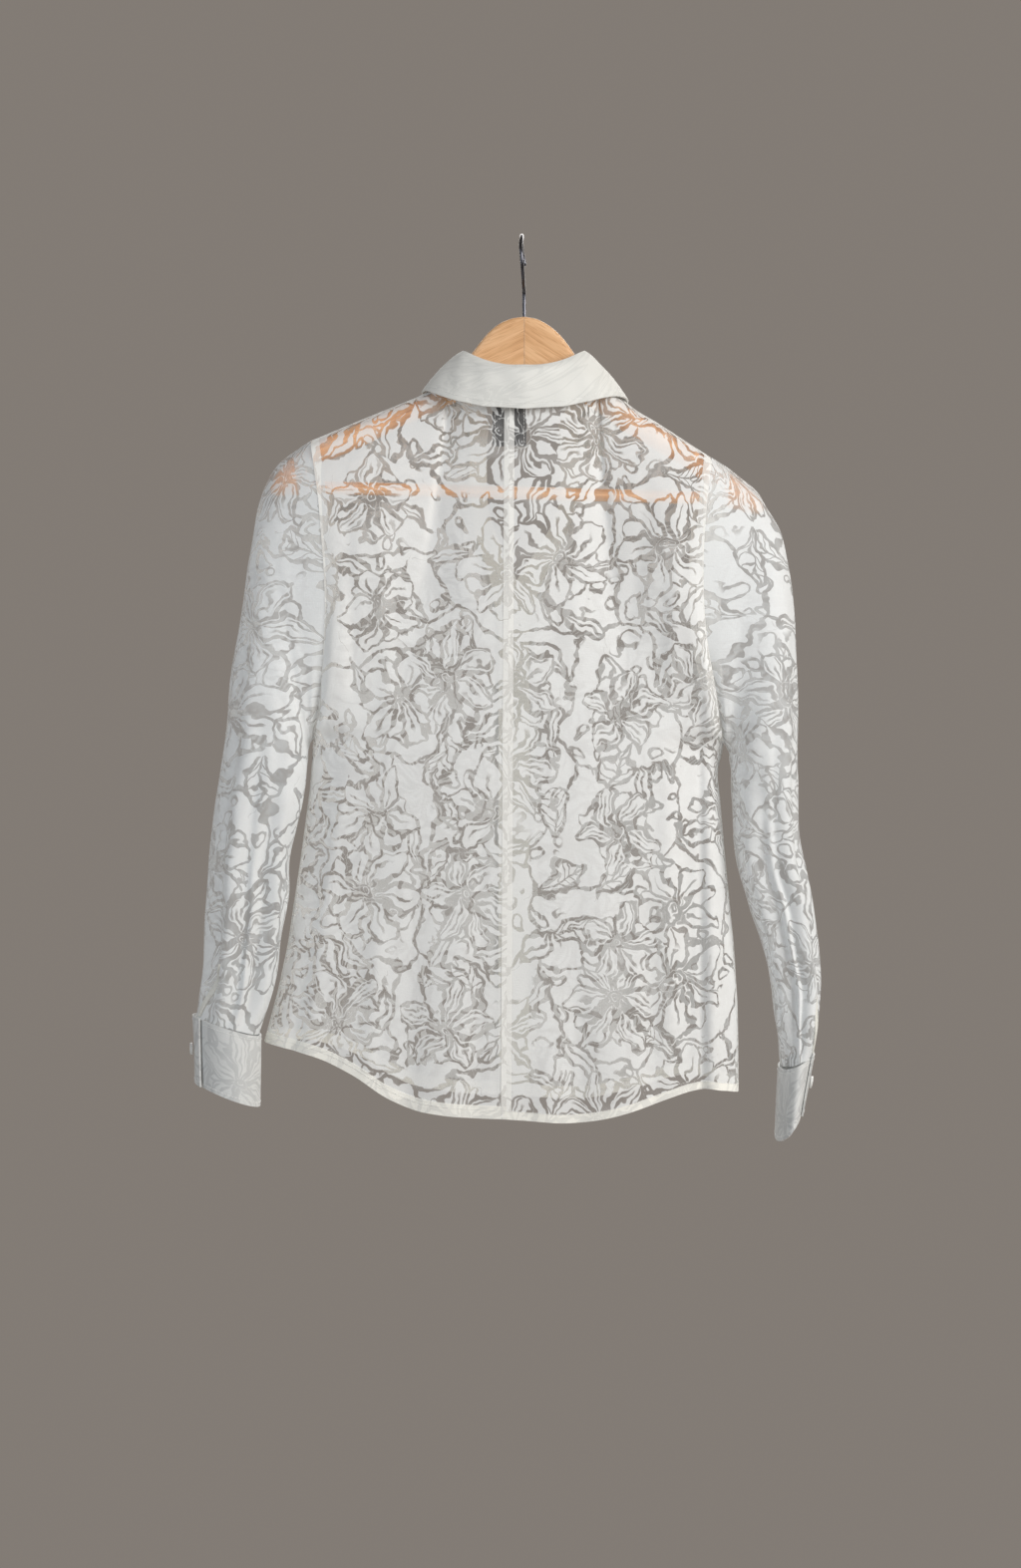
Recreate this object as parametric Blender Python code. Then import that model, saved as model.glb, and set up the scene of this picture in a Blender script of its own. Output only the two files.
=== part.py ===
"""A sheer long-sleeved shirt hanging on its contoured wooden suit hanger, at real size.

The frame is the hook's: the origin is the inside top of its crook, +Z is up, and a viewer who looks along +Y
sees the shirt's back. +X is the right of that view. Every piece is a wall with the garment's own cut.
All sizes below are in millimetres. A mesh gets them in metres.
"""

import math
from collections import namedtuple

import bmesh
import bpy
import numpy as np
from mathutils import Matrix, Vector

# Driving dimensions of the cloth
MM = 0.001
WALL = 1.0
HEM_WALL = 2.0
HEM_DEPTH = 9.0
SEAM = 0.3
LIFT = 0.4
LEFT, RIGHT = -1, 1
BACK, FRONT = -1, 1

# The neck seam, by its angle from the centre of the collar's back
NECK_X = 1.0
NECK_HALF_WIDTH = 68.0
NECK_BACK = 40.0
NECK_FRONT = 44.0
NECK_BACK_Z = -149.0
NECK_SIDE_Z = -125.5
NECK_FRONT_DROP = 59.0
NECK_END = 150.0
BAND_ANGLE = 133.0
CENTRE_BACK_ANGLE = -11.0

# The body
HEM_Z = -790.0
CENTRE_BACK_X = -12.0
CENTRE_BACK_HEM_X = -14.9
UNDERARM_Z = {LEFT: -452.0, RIGHT: -455.9}
ARMHOLE_HALF_DEPTH = 44.0
ARMHOLE_ROUNDNESS = 0.6
UNDERARM_ROUNDNESS = 0.95
CHEST_HALF_DEPTH = 51.0
HEM_HALF_DEPTH = 43.0
SIDE_ROUNDNESS = 2.4
SHOULDER_EASE = 12.0
FRONT_HEM_RISE = 12.0
ARM_ROWS = 10
PANEL_COLUMNS = 12
NECK_COLUMNS = 6

# The front bands, closed below the open neck
BAND_WIDTH = 28.0
CLOSURE_X = -8.0
CLOSED_Z = -350.0
OPEN_Z = -225.0
BAND_FLARE = 8.0
BAND_STEP = 2.0
BUTTON_RADIUS = 5.5
BUTTON_THICKNESS = 2.2
BUTTON_RIM = 1.3
BUTTON_DISH = 0.6
BUTTON_TOP_Z = -362.0
BUTTON_SPACING = 82.0
FASTENED_BUTTONS = 5
OPEN_BUTTON_Z = -280.0

# The collar
STAND_LEAN = 13.0
STAND_HEIGHT = {"back": 27.0, "side": 20.5, "front": 22.0}
FALL_OFFSET = 2.4
COLLAR_STEP = 10
STAND_GAP = 1.0

# The free edge of the collar's fall, by its angle: how far out, back to front, and how high it lies
Edge = namedtuple("Edge", "angle x y z")
FALL_EDGE = [
    Edge(0, 0, -49.5, -160.8), Edge(30, 36, -47.5, -158.4), Edge(50, 60, -42, -152.5), Edge(65, 76, -33, -146.5),
    Edge(78, 86, -20, -140.5), Edge(90, 92, 0, -138.3), Edge(105, 92, 24, -143), Edge(120, 85, 44, -168),
    Edge(135, 76, 56, -196), Edge(150, 66, 63, -228),
]
RIGHT_SHOULDER_DROP = 8.0
COLLAR_WALL = 1.4

# The label
LABEL_X = (-27.0, 3.0)
LABEL_Z = (-153.0, -193.0)
LABEL_WALL = 0.6

# The hanger
BAR_ENDS = ((-192.0, 4.0, -224.6), (171.2, 4.0, -234.6))
BAR_RADIUS = 5.8
WIRE_RADIUS = 1.6
CROOK_RADIUS = 22.0
HANGER_TOP_Z = -71.5
HANGER_X = 1.5

Spot = namedtuple("Spot", "x z")
SHOULDER = {
    LEFT: [Spot(-67, -125.5), Spot(-90, -142.0), Spot(-123, -155.3), Spot(-158, -169.7), Spot(-190.4, -183.2)],
    RIGHT: [Spot(69, -125.5), Spot(95, -151.5), Spot(124, -168.8), Spot(150, -185.9), Spot(169.7, -198.5)],
}
ARMHOLE = {
    LEFT: [
        Spot(-190.4, -183.2), Spot(-182.3, -235.4), Spot(-176.5, -298.4), Spot(-175.1, -334.4),
        Spot(-177.0, -379.4), Spot(-181.0, -419.9), Spot(-188.0, -452.0),
    ],
    RIGHT: [
        Spot(169.7, -198.5), Spot(163.4, -241.7), Spot(159.4, -302.0), Spot(160.7, -338.0),
        Spot(163.4, -366.8), Spot(170.6, -405.5), Spot(180.5, -455.9),
    ],
}
SIDE_SEAM = {
    LEFT: [
        Spot(-188.0, -452.0), Spot(-192.0, -500.0), Spot(-200.0, -560.0), Spot(-212.0, -640.0),
        Spot(-221.0, -681.0), Spot(-232.7, -725.0),
    ],
    RIGHT: [
        Spot(180.5, -455.9), Spot(175.5, -479.3), Spot(177.8, -506.3), Spot(182.0, -554.9),
        Spot(190.4, -640.4), Spot(194.0, -699.8), Spot(194.5, -770.0),
    ],
}
HEM = [
    Spot(-232.7, -725.0), Spot(-191.3, -734.0), Spot(-159.8, -746.6), Spot(-136.4, -761.0), Spot(-114.8, -777.0),
    Spot(-89.6, -784.4), Spot(-56.3, -788.9), Spot(-13.1, -790.5), Spot(34.7, -794.0), Spot(55.4, -793.5),
    Spot(79.7, -788.9), Spot(100.4, -783.5), Spot(123.8, -775.0), Spot(144.5, -768.2), Spot(163.4, -764.6),
    Spot(194.5, -770.0),
]

# A fold is a soft ridge when its depth is positive and a trough when it is negative
Fold = namedtuple("Fold", "face x_top x_low z_top z_low width depth")
FOLDS = [
    Fold(BACK, 166, 172, -300, -790, 9, 5.0),
    Fold(BACK, 148, 152, -380, -790, 12, -3.5),
    Fold(BACK, -150, -196, -420, -760, 12, 3.5),
    Fold(BACK, -60, -72, -560, -800, 20, 2.5),
    Fold(BACK, 70, 84, -520, -800, 22, 2.5),
    Fold(FRONT, 120, 142, -330, -790, 14, 6.0),
    Fold(FRONT, -118, -150, -330, -770, 15, 5.0),
    Fold(FRONT, 66, 72, -420, -790, 16, -4.0),
    Fold(FRONT, -70, -84, -400, -790, 18, 4.0),
]

# One row for each ring of a sleeve: its outer and inner ends, and half its depth between them
Ring = namedtuple("Ring", "out_x out_y out_z in_x in_y in_z half")
SLEEVE = {
    LEFT: [
        Ring(-190.9, 0, -183.2, -188.5, 0, -452.0, 44),
        Ring(-205.7, 2, -193.0, -190.0, 0, -453.5, 44),
        Ring(-220.0, 4, -203.9, -191.2, 0, -455.0, 44),
        Ring(-228.6, 5, -216.0, -192.0, -1, -456.5, 44),
        Ring(-234.2, 5, -228.2, -192.4, -2, -458.0, 43),
        Ring(-238.4, 5, -240.8, -192.8, -3, -460.0, 43),
        Ring(-243.5, 4, -272.3, -193.0, -5, -463.0, 43),
        Ring(-248.0, 3, -298.4, -193.2, -7, -466.0, 43),
        Ring(-252.5, 2, -329.9, -193.4, -9, -470.0, 42),
        Ring(-257.9, 0, -365.0, -193.6, -11, -475.0, 42),
        Ring(-263.3, -2, -400.0, -194.0, -13, -482.0, 41),
        Ring(-266.5, -4, -440.0, -195.4, -15, -495.0, 40),
        Ring(-271.0, -6, -478.0, -198.0, -16, -513.0, 39),
        Ring(-277.5, -7, -516.0, -203.5, -16, -534.0, 37),
        Ring(-281.0, -8, -554.0, -209.0, -16, -561.0, 36),
        Ring(-284.3, -8, -592.0, -210.0, -16, -594.0, 35),
        Ring(-286.2, -8, -632.0, -217.0, -16, -633.0, 34),
        Ring(-288.0, -8, -665.0, -222.0, -16, -671.0, 34),
        Ring(-293.0, -8, -700.0, -236.5, -16, -717.0, 34),
    ],
    RIGHT: [
        Ring(170.2, 0, -198.5, 181.0, 0, -455.9, 44),
        Ring(183.2, 2, -206.6, 182.2, 0, -457.2, 44),
        Ring(197.6, 4, -217.4, 183.4, 0, -458.5, 44),
        Ring(212.0, 5, -229.6, 184.4, 1, -460.0, 44),
        Ring(220.6, 5, -244.0, 185.2, 2, -461.5, 45),
        Ring(230.9, 5, -260.6, 186.0, 2, -463.0, 46),
        Ring(239.0, 5, -294.8, 186.8, 3, -466.0, 48),
        Ring(245.3, 5, -338.0, 187.4, 3, -470.0, 49),
        Ring(247.2, 5, -385.7, 188.0, 3, -476.0, 50),
        Ring(248.2, 5, -434.3, 188.7, 4, -487.0, 49),
        Ring(248.4, 5, -482.0, 189.5, 4, -507.0, 47),
        Ring(248.8, 5, -530.0, 190.8, 4, -537.0, 45),
        Ring(255.2, 5, -571.0, 195.0, 4, -570.0, 43),
        Ring(261.8, 5, -605.0, 205.0, 4, -603.0, 42),
        Ring(265.4, 5, -640.0, 217.0, 4, -640.0, 42),
        Ring(267.6, 5, -674.0, 225.5, 4, -676.0, 43),
        Ring(265.4, 5, -695.0, 228.0, 4, -702.0, 44),
        Ring(262.8, 5, -715.0, 231.5, 4, -725.0, 45),
        Ring(259.8, 5, -735.0, 233.5, 4, -747.0, 45),
    ],
}
CUFF = {
    LEFT: [Ring(-293.2, -8, -700.8, -236.4, -16, -717.8, 34), Ring(-291.5, -8, -760.8, -237.0, -16, -781.0, 34)],
    RIGHT: [Ring(259.6, 5, -736.6, 233.6, 4, -748.6, 45), Ring(250.0, 5, -789.0, 230.0, 4, -813.0, 46)],
}
RING_ROUNDNESS = 0.85
BOW_RINGS = 6
CUFF_WALL = 1.6
CUFF_OVERLAP = 24.0
CUFF_GROWTH = 4.0

# A sleeve's creases, by the angle round its ring: 0 is outermost, 90 is towards the back, 270 towards the front
Crease = namedtuple("Crease", "angle_top angle_low first last width depth")
CREASES = {
    LEFT: [Crease(64, 76, 4, 17, 14, 4.5), Crease(118, 128, 9, 18, 13, -5.0), Crease(235, 250, 6, 17, 16, 4.5)],
    RIGHT: [Crease(58, 66, 5, 17, 13, 5.0), Crease(104, 112, 7, 18, 14, -5.5), Crease(292, 284, 6, 17, 16, 4.5)],
}

# Sections of a hanger arm: where they stand, top and bottom edge, half thickness and how square they are
Section = namedtuple("Section", "x y top low half square")
ARM = {
    LEFT: [
        Section(1.35, 0, -71.5, -117.5, 7, 5), Section(-10, 0, -73.2, -122.5, 7, 5),
        Section(-19.4, 0, -77, -127, 7, 5), Section(-31, 0, -86, -133, 7, 4.5),
        Section(-42, 0, -99.5, -138.5, 7, 4), Section(-50, 0, -110, -142.5, 7, 3.5),
        Section(-60, 0, -122.9, -148, 7, 3), Section(-73, 0, -133.9, -154.4, 7.3, 2.4),
        Section(-90, 0, -144.5, -162, 7.6, 2), Section(-112, 0, -153.5, -171.5, 8, 2),
        Section(-131, 0.15, -161.1, -181.5, 9, 2), Section(-150, 0.3, -168.9, -190.5, 10.5, 2),
        Section(-168, 0.6, -176.4, -198, 12.5, 2), Section(-183, 0.9, -182.7, -204, 13.5, 2.1),
        Section(-190, 1.05, -186.3, -210, 13.5, 2.2), Section(-197, 1.2, -190.7, -231.5, 13.5, 2.2),
        Section(-210, 1.5, -200, -232, 13.5, 2.2), Section(-220, 1.8, -210.3, -233, 12.5, 2.2),
        Section(-227, 1.9, -222.5, -231, 7, 2.2),
    ],
    RIGHT: [
        Section(1.65, 0, -71.5, -117.5, 7, 5), Section(13, 0, -73.8, -123, 7, 5),
        Section(23.9, 0, -79.7, -129, 7, 5), Section(34, 0, -88.5, -135, 7, 4.5),
        Section(43, 0, -99.8, -141, 7, 4), Section(51, 0, -111.5, -147, 7, 3.5),
        Section(61, 0, -123.9, -153, 7, 3), Section(75, 0, -135.2, -162, 7.3, 2.4),
        Section(91, 0, -150.1, -175, 7.6, 2), Section(106, 0, -160.5, -182.5, 8, 2),
        Section(127, 0.15, -173.3, -196, 9, 2), Section(144, 0.3, -184.4, -205, 10.5, 2),
        Section(158, 0.6, -193.5, -216, 12.5, 2), Section(170, 0.9, -201.3, -224, 13.5, 2.1),
        Section(177, 1.05, -205.5, -241, 13.5, 2.2), Section(190, 1.2, -214.7, -244.5, 13.5, 2.2),
        Section(203, 1.5, -225.3, -248, 13.5, 2.2), Section(211, 1.8, -233.3, -249.5, 12.5, 2.2),
        Section(216.5, 1.95, -241.7, -248.5, 8, 2.2),
    ],
}
SECTION_POINTS = 16

SHEER = ((0.86, 0.865, 0.845), 0.55, 0.0)
PLAIN = ((0.84, 0.85, 0.82), 0.6, 0.0)
LABEL = ((0.02, 0.02, 0.024), 0.5, 0.0)
SHELL_BUTTON = ((0.88, 0.88, 0.85), 0.25, 0.0)
WOOD = ((0.72, 0.50, 0.31), 0.42, 0.0)
DARK_METAL = ((0.09, 0.09, 0.10), 0.22, 1.0)


def clear_scene():
    for thing in list(bpy.context.scene.objects):
        bpy.data.objects.remove(thing, do_unlink=True)


def material(name, finish):
    """A Principled material from a (colour, roughness, metallic) finish."""
    found = bpy.data.materials.get(name)
    if found:
        return found
    made = bpy.data.materials.new(name)
    made.use_nodes = True
    shader = made.node_tree.nodes["Principled BSDF"]
    colour, roughness, metallic = finish
    shader.inputs["Base Color"].default_value = (*colour, 1.0)
    shader.inputs["Roughness"].default_value = roughness
    shader.inputs["Metallic"].default_value = metallic
    return made


def keep(name, shape, slot, finish, smooth_angle=50.0):
    """Makes the named object from a bmesh in millimetres."""
    bmesh.ops.scale(shape, vec=(MM, MM, MM), verts=shape.verts)
    mesh = bpy.data.meshes.new(name)
    shape.to_mesh(mesh)
    shape.free()
    mesh.shade_smooth()
    mesh.set_sharp_from_angle(angle=math.radians(smooth_angle))
    mesh.materials.append(material(slot, finish))
    made = bpy.data.objects.new(name, mesh)
    bpy.context.scene.collection.objects.link(made)
    return made


def along(table, column, value, wanted):
    """The wanted column of a table where its other column has this value, straight between its rows."""
    rows = sorted(table, key=lambda row: getattr(row, column))
    return float(np.interp(value, [getattr(r, column) for r in rows], [getattr(r, wanted) for r in rows]))


def smooth_step(low, high, value):
    share = min(1.0, max(0.0, (value - low) / (high - low)))
    return share * share * (3 - 2 * share)


def unit(vectors):
    return vectors / np.maximum(np.linalg.norm(vectors, axis=-1, keepdims=True), 1e-9)


def normals_of(grid, outward, ring=False):
    """Unit normals of a grid of points. They point the way that the outward vectors do."""
    down = np.gradient(grid, axis=0)
    if ring:
        across = np.roll(grid, -1, axis=1) - np.roll(grid, 1, axis=1)
    else:
        across = np.gradient(grid, axis=1)
    found = unit(np.cross(down, across))
    return found * np.sign((found * outward).sum())


def without(normals, where, axis):
    """Turns the normals there square to one axis, so that two walls meet edge to edge."""
    turned = normals[where].copy()
    turned[..., axis] = 0
    normals[where] = unit(turned)


def wall(grid, normals, thick, ring=False, proud=0.0):
    """A closed wall under a grid of outer points: thick is one number or one for each point."""
    rows, columns = grid.shape[:2]
    thick = np.broadcast_to(np.asarray(thick, float), (rows, columns))[..., None]
    outer, inner = grid + normals * proud, grid - normals * thick
    shape = bmesh.new()
    skins = [[[shape.verts.new(point) for point in row] for row in skin] for skin in (outer, inner)]
    spans = columns if ring else columns - 1
    for skin in skins:
        for r in range(rows - 1):
            for c in range(spans):
                d = (c + 1) % columns
                shape.faces.new((skin[r][c], skin[r + 1][c], skin[r + 1][d], skin[r][d]))
    out, into = skins
    for r in (0, rows - 1):
        for c in range(spans):
            d = (c + 1) % columns
            shape.faces.new((out[r][c], out[r][d], into[r][d], into[r][c]))
    if not ring:
        for c in (0, columns - 1):
            for r in range(rows - 1):
                shape.faces.new((out[r][c], out[r + 1][c], into[r + 1][c], into[r][c]))
    bmesh.ops.recalc_face_normals(shape, faces=shape.faces)
    if shape.calc_volume(signed=True) < 0:
        bmesh.ops.reverse_faces(shape, faces=shape.faces)
    return shape


def spot_on(grid, row, column, ring=False):
    """A point of the grid between its rows and columns."""
    rows, columns = grid.shape[:2]
    r = min(int(row), rows - 2)
    c = int(math.floor(column))
    c = c % columns if ring else min(max(c, 0), columns - 2)
    d = (c + 1) % columns
    u, v = row - r, (column - math.floor(column)) if ring else column - c
    top = grid[r, c] * (1 - v) + grid[r, d] * v
    low = grid[r + 1, c] * (1 - v) + grid[r + 1, d] * v
    return top * (1 - u) + low * u


def neck(angle):
    """A point of the neck seam."""
    turn = math.radians(abs(angle))
    x = NECK_X + math.copysign(NECK_HALF_WIDTH * math.sin(turn), angle)
    if abs(angle) <= 90:
        rise = (NECK_SIDE_Z - NECK_BACK_Z) * math.sin(turn) ** 2
        return np.array([x, -NECK_BACK * math.cos(turn), NECK_BACK_Z + rise])
    drop = NECK_FRONT_DROP * ((abs(angle) - 90) / (NECK_END - 90)) ** 1.5
    return np.array([x, -NECK_FRONT * math.cos(turn), NECK_SIDE_Z - drop])


def armhole_point(side, face, turn):
    """A point of the armhole seam: turn runs from 0 at the shoulder to pi under the arm."""
    top, low = SHOULDER[side][-1].z, UNDERARM_Z[side]
    z = top + (low - top) * (1 - math.cos(turn)) / 2
    roundness = ARMHOLE_ROUNDNESS if turn < math.pi / 2 else UNDERARM_ROUNDNESS
    y = ARMHOLE_HALF_DEPTH * max(0.0, math.sin(turn)) ** roundness
    return np.array([along(ARMHOLE[side], "z", z, "x"), face * max(SEAM, y), z])


def openness(z):
    return smooth_step(CLOSED_Z, OPEN_Z, z)


def half_depth(z):
    """Half the body's depth at its middle."""
    share = smooth_step(-460.0, HEM_Z, z)
    return CHEST_HALF_DEPTH + (HEM_HALF_DEPTH - CHEST_HALF_DEPTH) * share


def centre_back(z):
    share = (z - NECK_BACK_Z) / (HEM_Z - NECK_BACK_Z)
    x = CENTRE_BACK_X + (CENTRE_BACK_HEM_X - CENTRE_BACK_X) * share
    y = neck(CENTRE_BACK_ANGLE)[1]
    swell = smooth_step(NECK_BACK_Z, -300.0, z) if z > -300.0 else 1.0
    return np.array([x, y + (-half_depth(z) - y) * swell, z])


def band_edge(side, z, free=False):
    """The line where a front meets its band, or the band's free edge."""
    top = neck(side * (NECK_END if free else BAND_ANGLE))
    closed = CLOSURE_X + side * BAND_WIDTH / 2 * (-1 if free else 1)
    share = openness(z)
    reach = smooth_step(top[2], -330.0, z) if z > -330.0 else 1.0
    y = top[1] + (half_depth(z) - top[1]) * reach
    return np.array([closed + (top[0] - closed) * share, y, z])


def fold_rise(face, x, z):
    """How far the folds lift the cloth off its plain form."""
    rise = 0.0
    for fold in FOLDS:
        if fold.face != face or not fold.z_low - 1 <= z <= fold.z_top:
            continue
        share = (fold.z_top - z) / (fold.z_top - fold.z_low)
        middle = fold.x_top + (fold.x_low - fold.x_top) * share
        grow = math.sin(min(1.0, share * 1.6) * math.pi / 2)
        rise += fold.depth * grow * math.exp(-(((x - middle) / fold.width) ** 2))
    return rise


def hem_z(face, x, share):
    rise = FRONT_HEM_RISE * (1 - share**4) if face == FRONT else 0.0
    return along(HEM, "x", x, "z") + rise


def centre_line(side, face, z):
    if face == BACK:
        point = centre_back(z)
        point[0] += side * SEAM / 2
    else:
        point = band_edge(side, z)
        point[0] += side * SEAM / 2
    return point


def panel_rows():
    """Shares of the way from underarm to hem, with the turned hem's own rows last."""
    length = 330.0
    plain = list(np.linspace(0, 1 - 2.2 * HEM_DEPTH / length, 11))[1:]
    return plain + [1 - (HEM_DEPTH + 0.6) / length, 1 - HEM_DEPTH / length, 1.0]


def body_panel(side, face):
    """The outer points of one front or one half of the back, by rows from the shoulder to the hem."""
    shares = np.sin(np.linspace(0, math.pi / 2, PANEL_COLUMNS + 1))
    start = CENTRE_BACK_ANGLE if face == BACK else side * BAND_ANGLE
    neckline = [neck(angle) for angle in np.linspace(start, side * 90, NECK_COLUMNS + 1)]
    neckline[-1][1] = face * SEAM
    ends = SHOULDER[side][0].x, SHOULDER[side][-1].x
    shoulder = [
        np.array([x, face * SEAM, along(SHOULDER[side], "x", x, "z")])
        for x in np.linspace(*ends, PANEL_COLUMNS - NECK_COLUMNS + 1)[1:]
    ]
    top = np.array(neckline + shoulder)
    top[0, 0] += side * SEAM / 2
    eased = top.copy()
    ease = np.hypot if face == FRONT else np.maximum
    eased[:, 1] = face * ease(face * eased[:, 1], SHOULDER_EASE)

    under_z = UNDERARM_Z[side]
    roundness = (1 - shares**SIDE_ROUNDNESS) ** (1 / SIDE_ROUNDNESS)
    middle = centre_line(side, face, under_z)
    edge_x = SIDE_SEAM[side][0].x
    under = np.array([
        [middle[0] + (edge_x - middle[0]) * share, face * max(SEAM, half_depth(under_z) * bulge), under_z]
        for share, bulge in zip(shares, roundness)
    ])

    rows = [top]
    top_z = top[0][2]
    for step in range(1, ARM_ROWS + 1):
        turn = math.pi * step / ARM_ROWS
        drop = (1 - math.cos(turn)) / 2
        centre = centre_line(side, face, top_z + (under_z - top_z) * drop)
        edge = armhole_point(side, face, turn)
        base = (1 - drop) * eased + drop * under
        pull = edge - base[-1]
        near_edge = np.stack([shares, shares ** (1 + 5 * drop), shares], axis=1)
        row = base + np.outer(1 - shares, centre - base[0]) + near_edge * pull
        rows.append(row)

    corner_z = SIDE_SEAM[side][-1].z
    low_middle = centre_line(side, face, HEM_Z)
    for step in panel_rows():
        row = []
        for share, bulge in zip(shares, roundness):
            hem_x = low_middle[0] + (SIDE_SEAM[side][-1].x - low_middle[0]) * share
            z = under_z + (hem_z(face, hem_x, share) - under_z) * step
            side_z = under_z + (corner_z - under_z) * step
            centre = centre_line(side, face, z)
            x = centre[0] + (along(SIDE_SEAM[side], "z", side_z, "x") - centre[0]) * share
            row.append([x, face * max(SEAM, half_depth(z) * bulge), z])
        rows.append(np.array(row))

    grid = np.array(rows)
    for r in range(3, grid.shape[0]):
        for c in range(1, PANEL_COLUMNS):
            fade = min(1.0, (r - 2) / 4) * math.sin(math.pi * min(1.0, 4 * min(shares[c], 1.02 - shares[c]) / 2))
            grid[r, c, 1] += face * fade * fold_rise(face, grid[r, c, 0], grid[r, c, 2])
    return grid


def panel_normals(grid, face):
    normals = normals_of(grid, np.array([0.0, face, 0.0]))
    normals[:, NECK_COLUMNS - 1] = unit(normals[:, NECK_COLUMNS - 2] + normals[:, NECK_COLUMNS])
    without(normals, np.s_[:, 0], 0)
    without(normals, np.s_[1 : ARM_ROWS, -1], 0)
    without(normals, np.s_[0, NECK_COLUMNS:], 1)
    without(normals, np.s_[ARM_ROWS:, -1], 1)
    without(normals, np.s_[-1, :], 2)
    return normals


def hem_walls(rows, columns):
    """The wall's thickness at each point: the last two rows are the turned hem."""
    thick = np.full((rows, columns), WALL)
    thick[-2:] = HEM_WALL
    return thick


def make_bodies():
    """The two fronts and the two halves of the back. It returns their points and normals for what lies on them."""
    made = {}
    for face, word in ((BACK, "back"), (FRONT, "front")):
        for side, way in ((LEFT, "left"), (RIGHT, "right")):
            grid = body_panel(side, face)
            normals = panel_normals(grid, face)
            shape = wall(grid, normals, hem_walls(*grid.shape[:2]))
            keep(f"{word}_{way}", shape, "sheer_cloth", SHEER)
            made[side, face] = grid, normals
    return made


def make_bands(bodies):
    """The plain button bands, the right one over the left. It returns each one's points."""
    made = {}
    for side, way in ((LEFT, "left"), (RIGHT, "right")):
        sunk = -BAND_STEP if side == LEFT else 0.0
        sewn_line = bodies[side, FRONT][0][:, 0]
        free_top = neck(side * NECK_END)[2]
        free_low = hem_z(FRONT, CLOSURE_X, 0.0)
        rows = []
        for sewn in sewn_line:
            step = (sewn[2] - sewn_line[0][2]) / (sewn_line[-1][2] - sewn_line[0][2])
            sewn = sewn - np.array([side * SEAM * 1.3, 0, 0])
            free = band_edge(side, free_top + (free_low - free_top) * step, free=True)
            row = []
            for across in np.linspace(0, 1, 4):
                point = sewn + (free - sewn) * across
                point[1] += sunk + BAND_FLARE * across * openness(point[2]) ** 2 * min(1.0, step * 6)
                row.append(point)
            rows.append(row)
        grid = np.array(rows)
        normals = normals_of(grid, np.array([0.0, 1.0, 0.0]))
        keep(f"placket_{way}", wall(grid, normals, WALL), "plain_cloth", PLAIN)
        made[side] = grid, normals
    return made


def stand_height(angle):
    turn = abs(angle)
    return float(np.interp(turn, (0, 90, NECK_END), list(STAND_HEIGHT.values())))


def fold_line(angle):
    """The collar's fold, at the top of its stand."""
    base = neck(angle)
    outward = unit(np.array([base[0] - NECK_X, base[1], 0.0]))
    lean = STAND_LEAN * (0.35 + 0.65 * math.sin(math.radians(min(90, abs(angle)))) ** 2)
    if abs(angle) > 90:
        lean = STAND_LEAN * (1 - 0.8 * (abs(angle) - 90) / (NECK_END - 90))
    return base - outward * lean + np.array([0, 0, stand_height(angle)])


def fall_edge(angle):
    turn = abs(angle)
    x, y, z = (along(FALL_EDGE, "angle", turn, column) for column in ("x", "y", "z"))
    if angle > 0:
        z -= RIGHT_SHOULDER_DROP * math.exp(-(((turn - 92) / 20) ** 2))
        x += 2.5 * math.exp(-(((turn - 92) / 25) ** 2))
    return np.array([NECK_X + math.copysign(x, angle), y, z])


def collar_angles():
    return np.linspace(-NECK_END, NECK_END, int(2 * NECK_END / COLLAR_STEP) + 1)


def make_collar():
    """The stand on the neck seam, and the leaf that falls over it from the fold."""
    stand, fall = [], []
    for angle in collar_angles():
        base, top = neck(angle), fold_line(angle)
        outward = unit(np.array([base[0] - NECK_X, base[1], 0.0]))
        base = base + np.array([0, 0, STAND_GAP])
        stand.append([base + (top - base) * share for share in (0, 0.5, 0.94)])
        edge = fall_edge(angle)
        crest = top + np.array([0, 0, 2.2]) + outward * 0.6
        shoulder = top + outward * (FALL_OFFSET + 1.2) + np.array([0, 0, 0.4])
        leaf = [crest, shoulder]
        for share in (0.3, 0.55, 0.8, 1.0):
            point = shoulder + (edge - shoulder) * share
            bow = 4.0 * math.sin(math.pi * share)
            leaf.append(point + outward * bow * 0.5 + np.array([0, 0, bow * 0.3]))
        fall.append(leaf)
    stand, fall = (np.array(points).transpose(1, 0, 2) for points in (stand, fall))
    middle = np.array([NECK_X, 0, 0])
    stand_normals = normals_of(stand, (stand - middle) * (1, 1, 0))
    keep("collar_stand", wall(stand, stand_normals, COLLAR_WALL), "plain_cloth", PLAIN)
    fall_normals = normals_of(fall, (fall - middle) * (1, 1, 0) + np.array([0, 0, 20.0]))
    keep("collar_fall", wall(fall, fall_normals, COLLAR_WALL), "plain_cloth", PLAIN)


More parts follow.
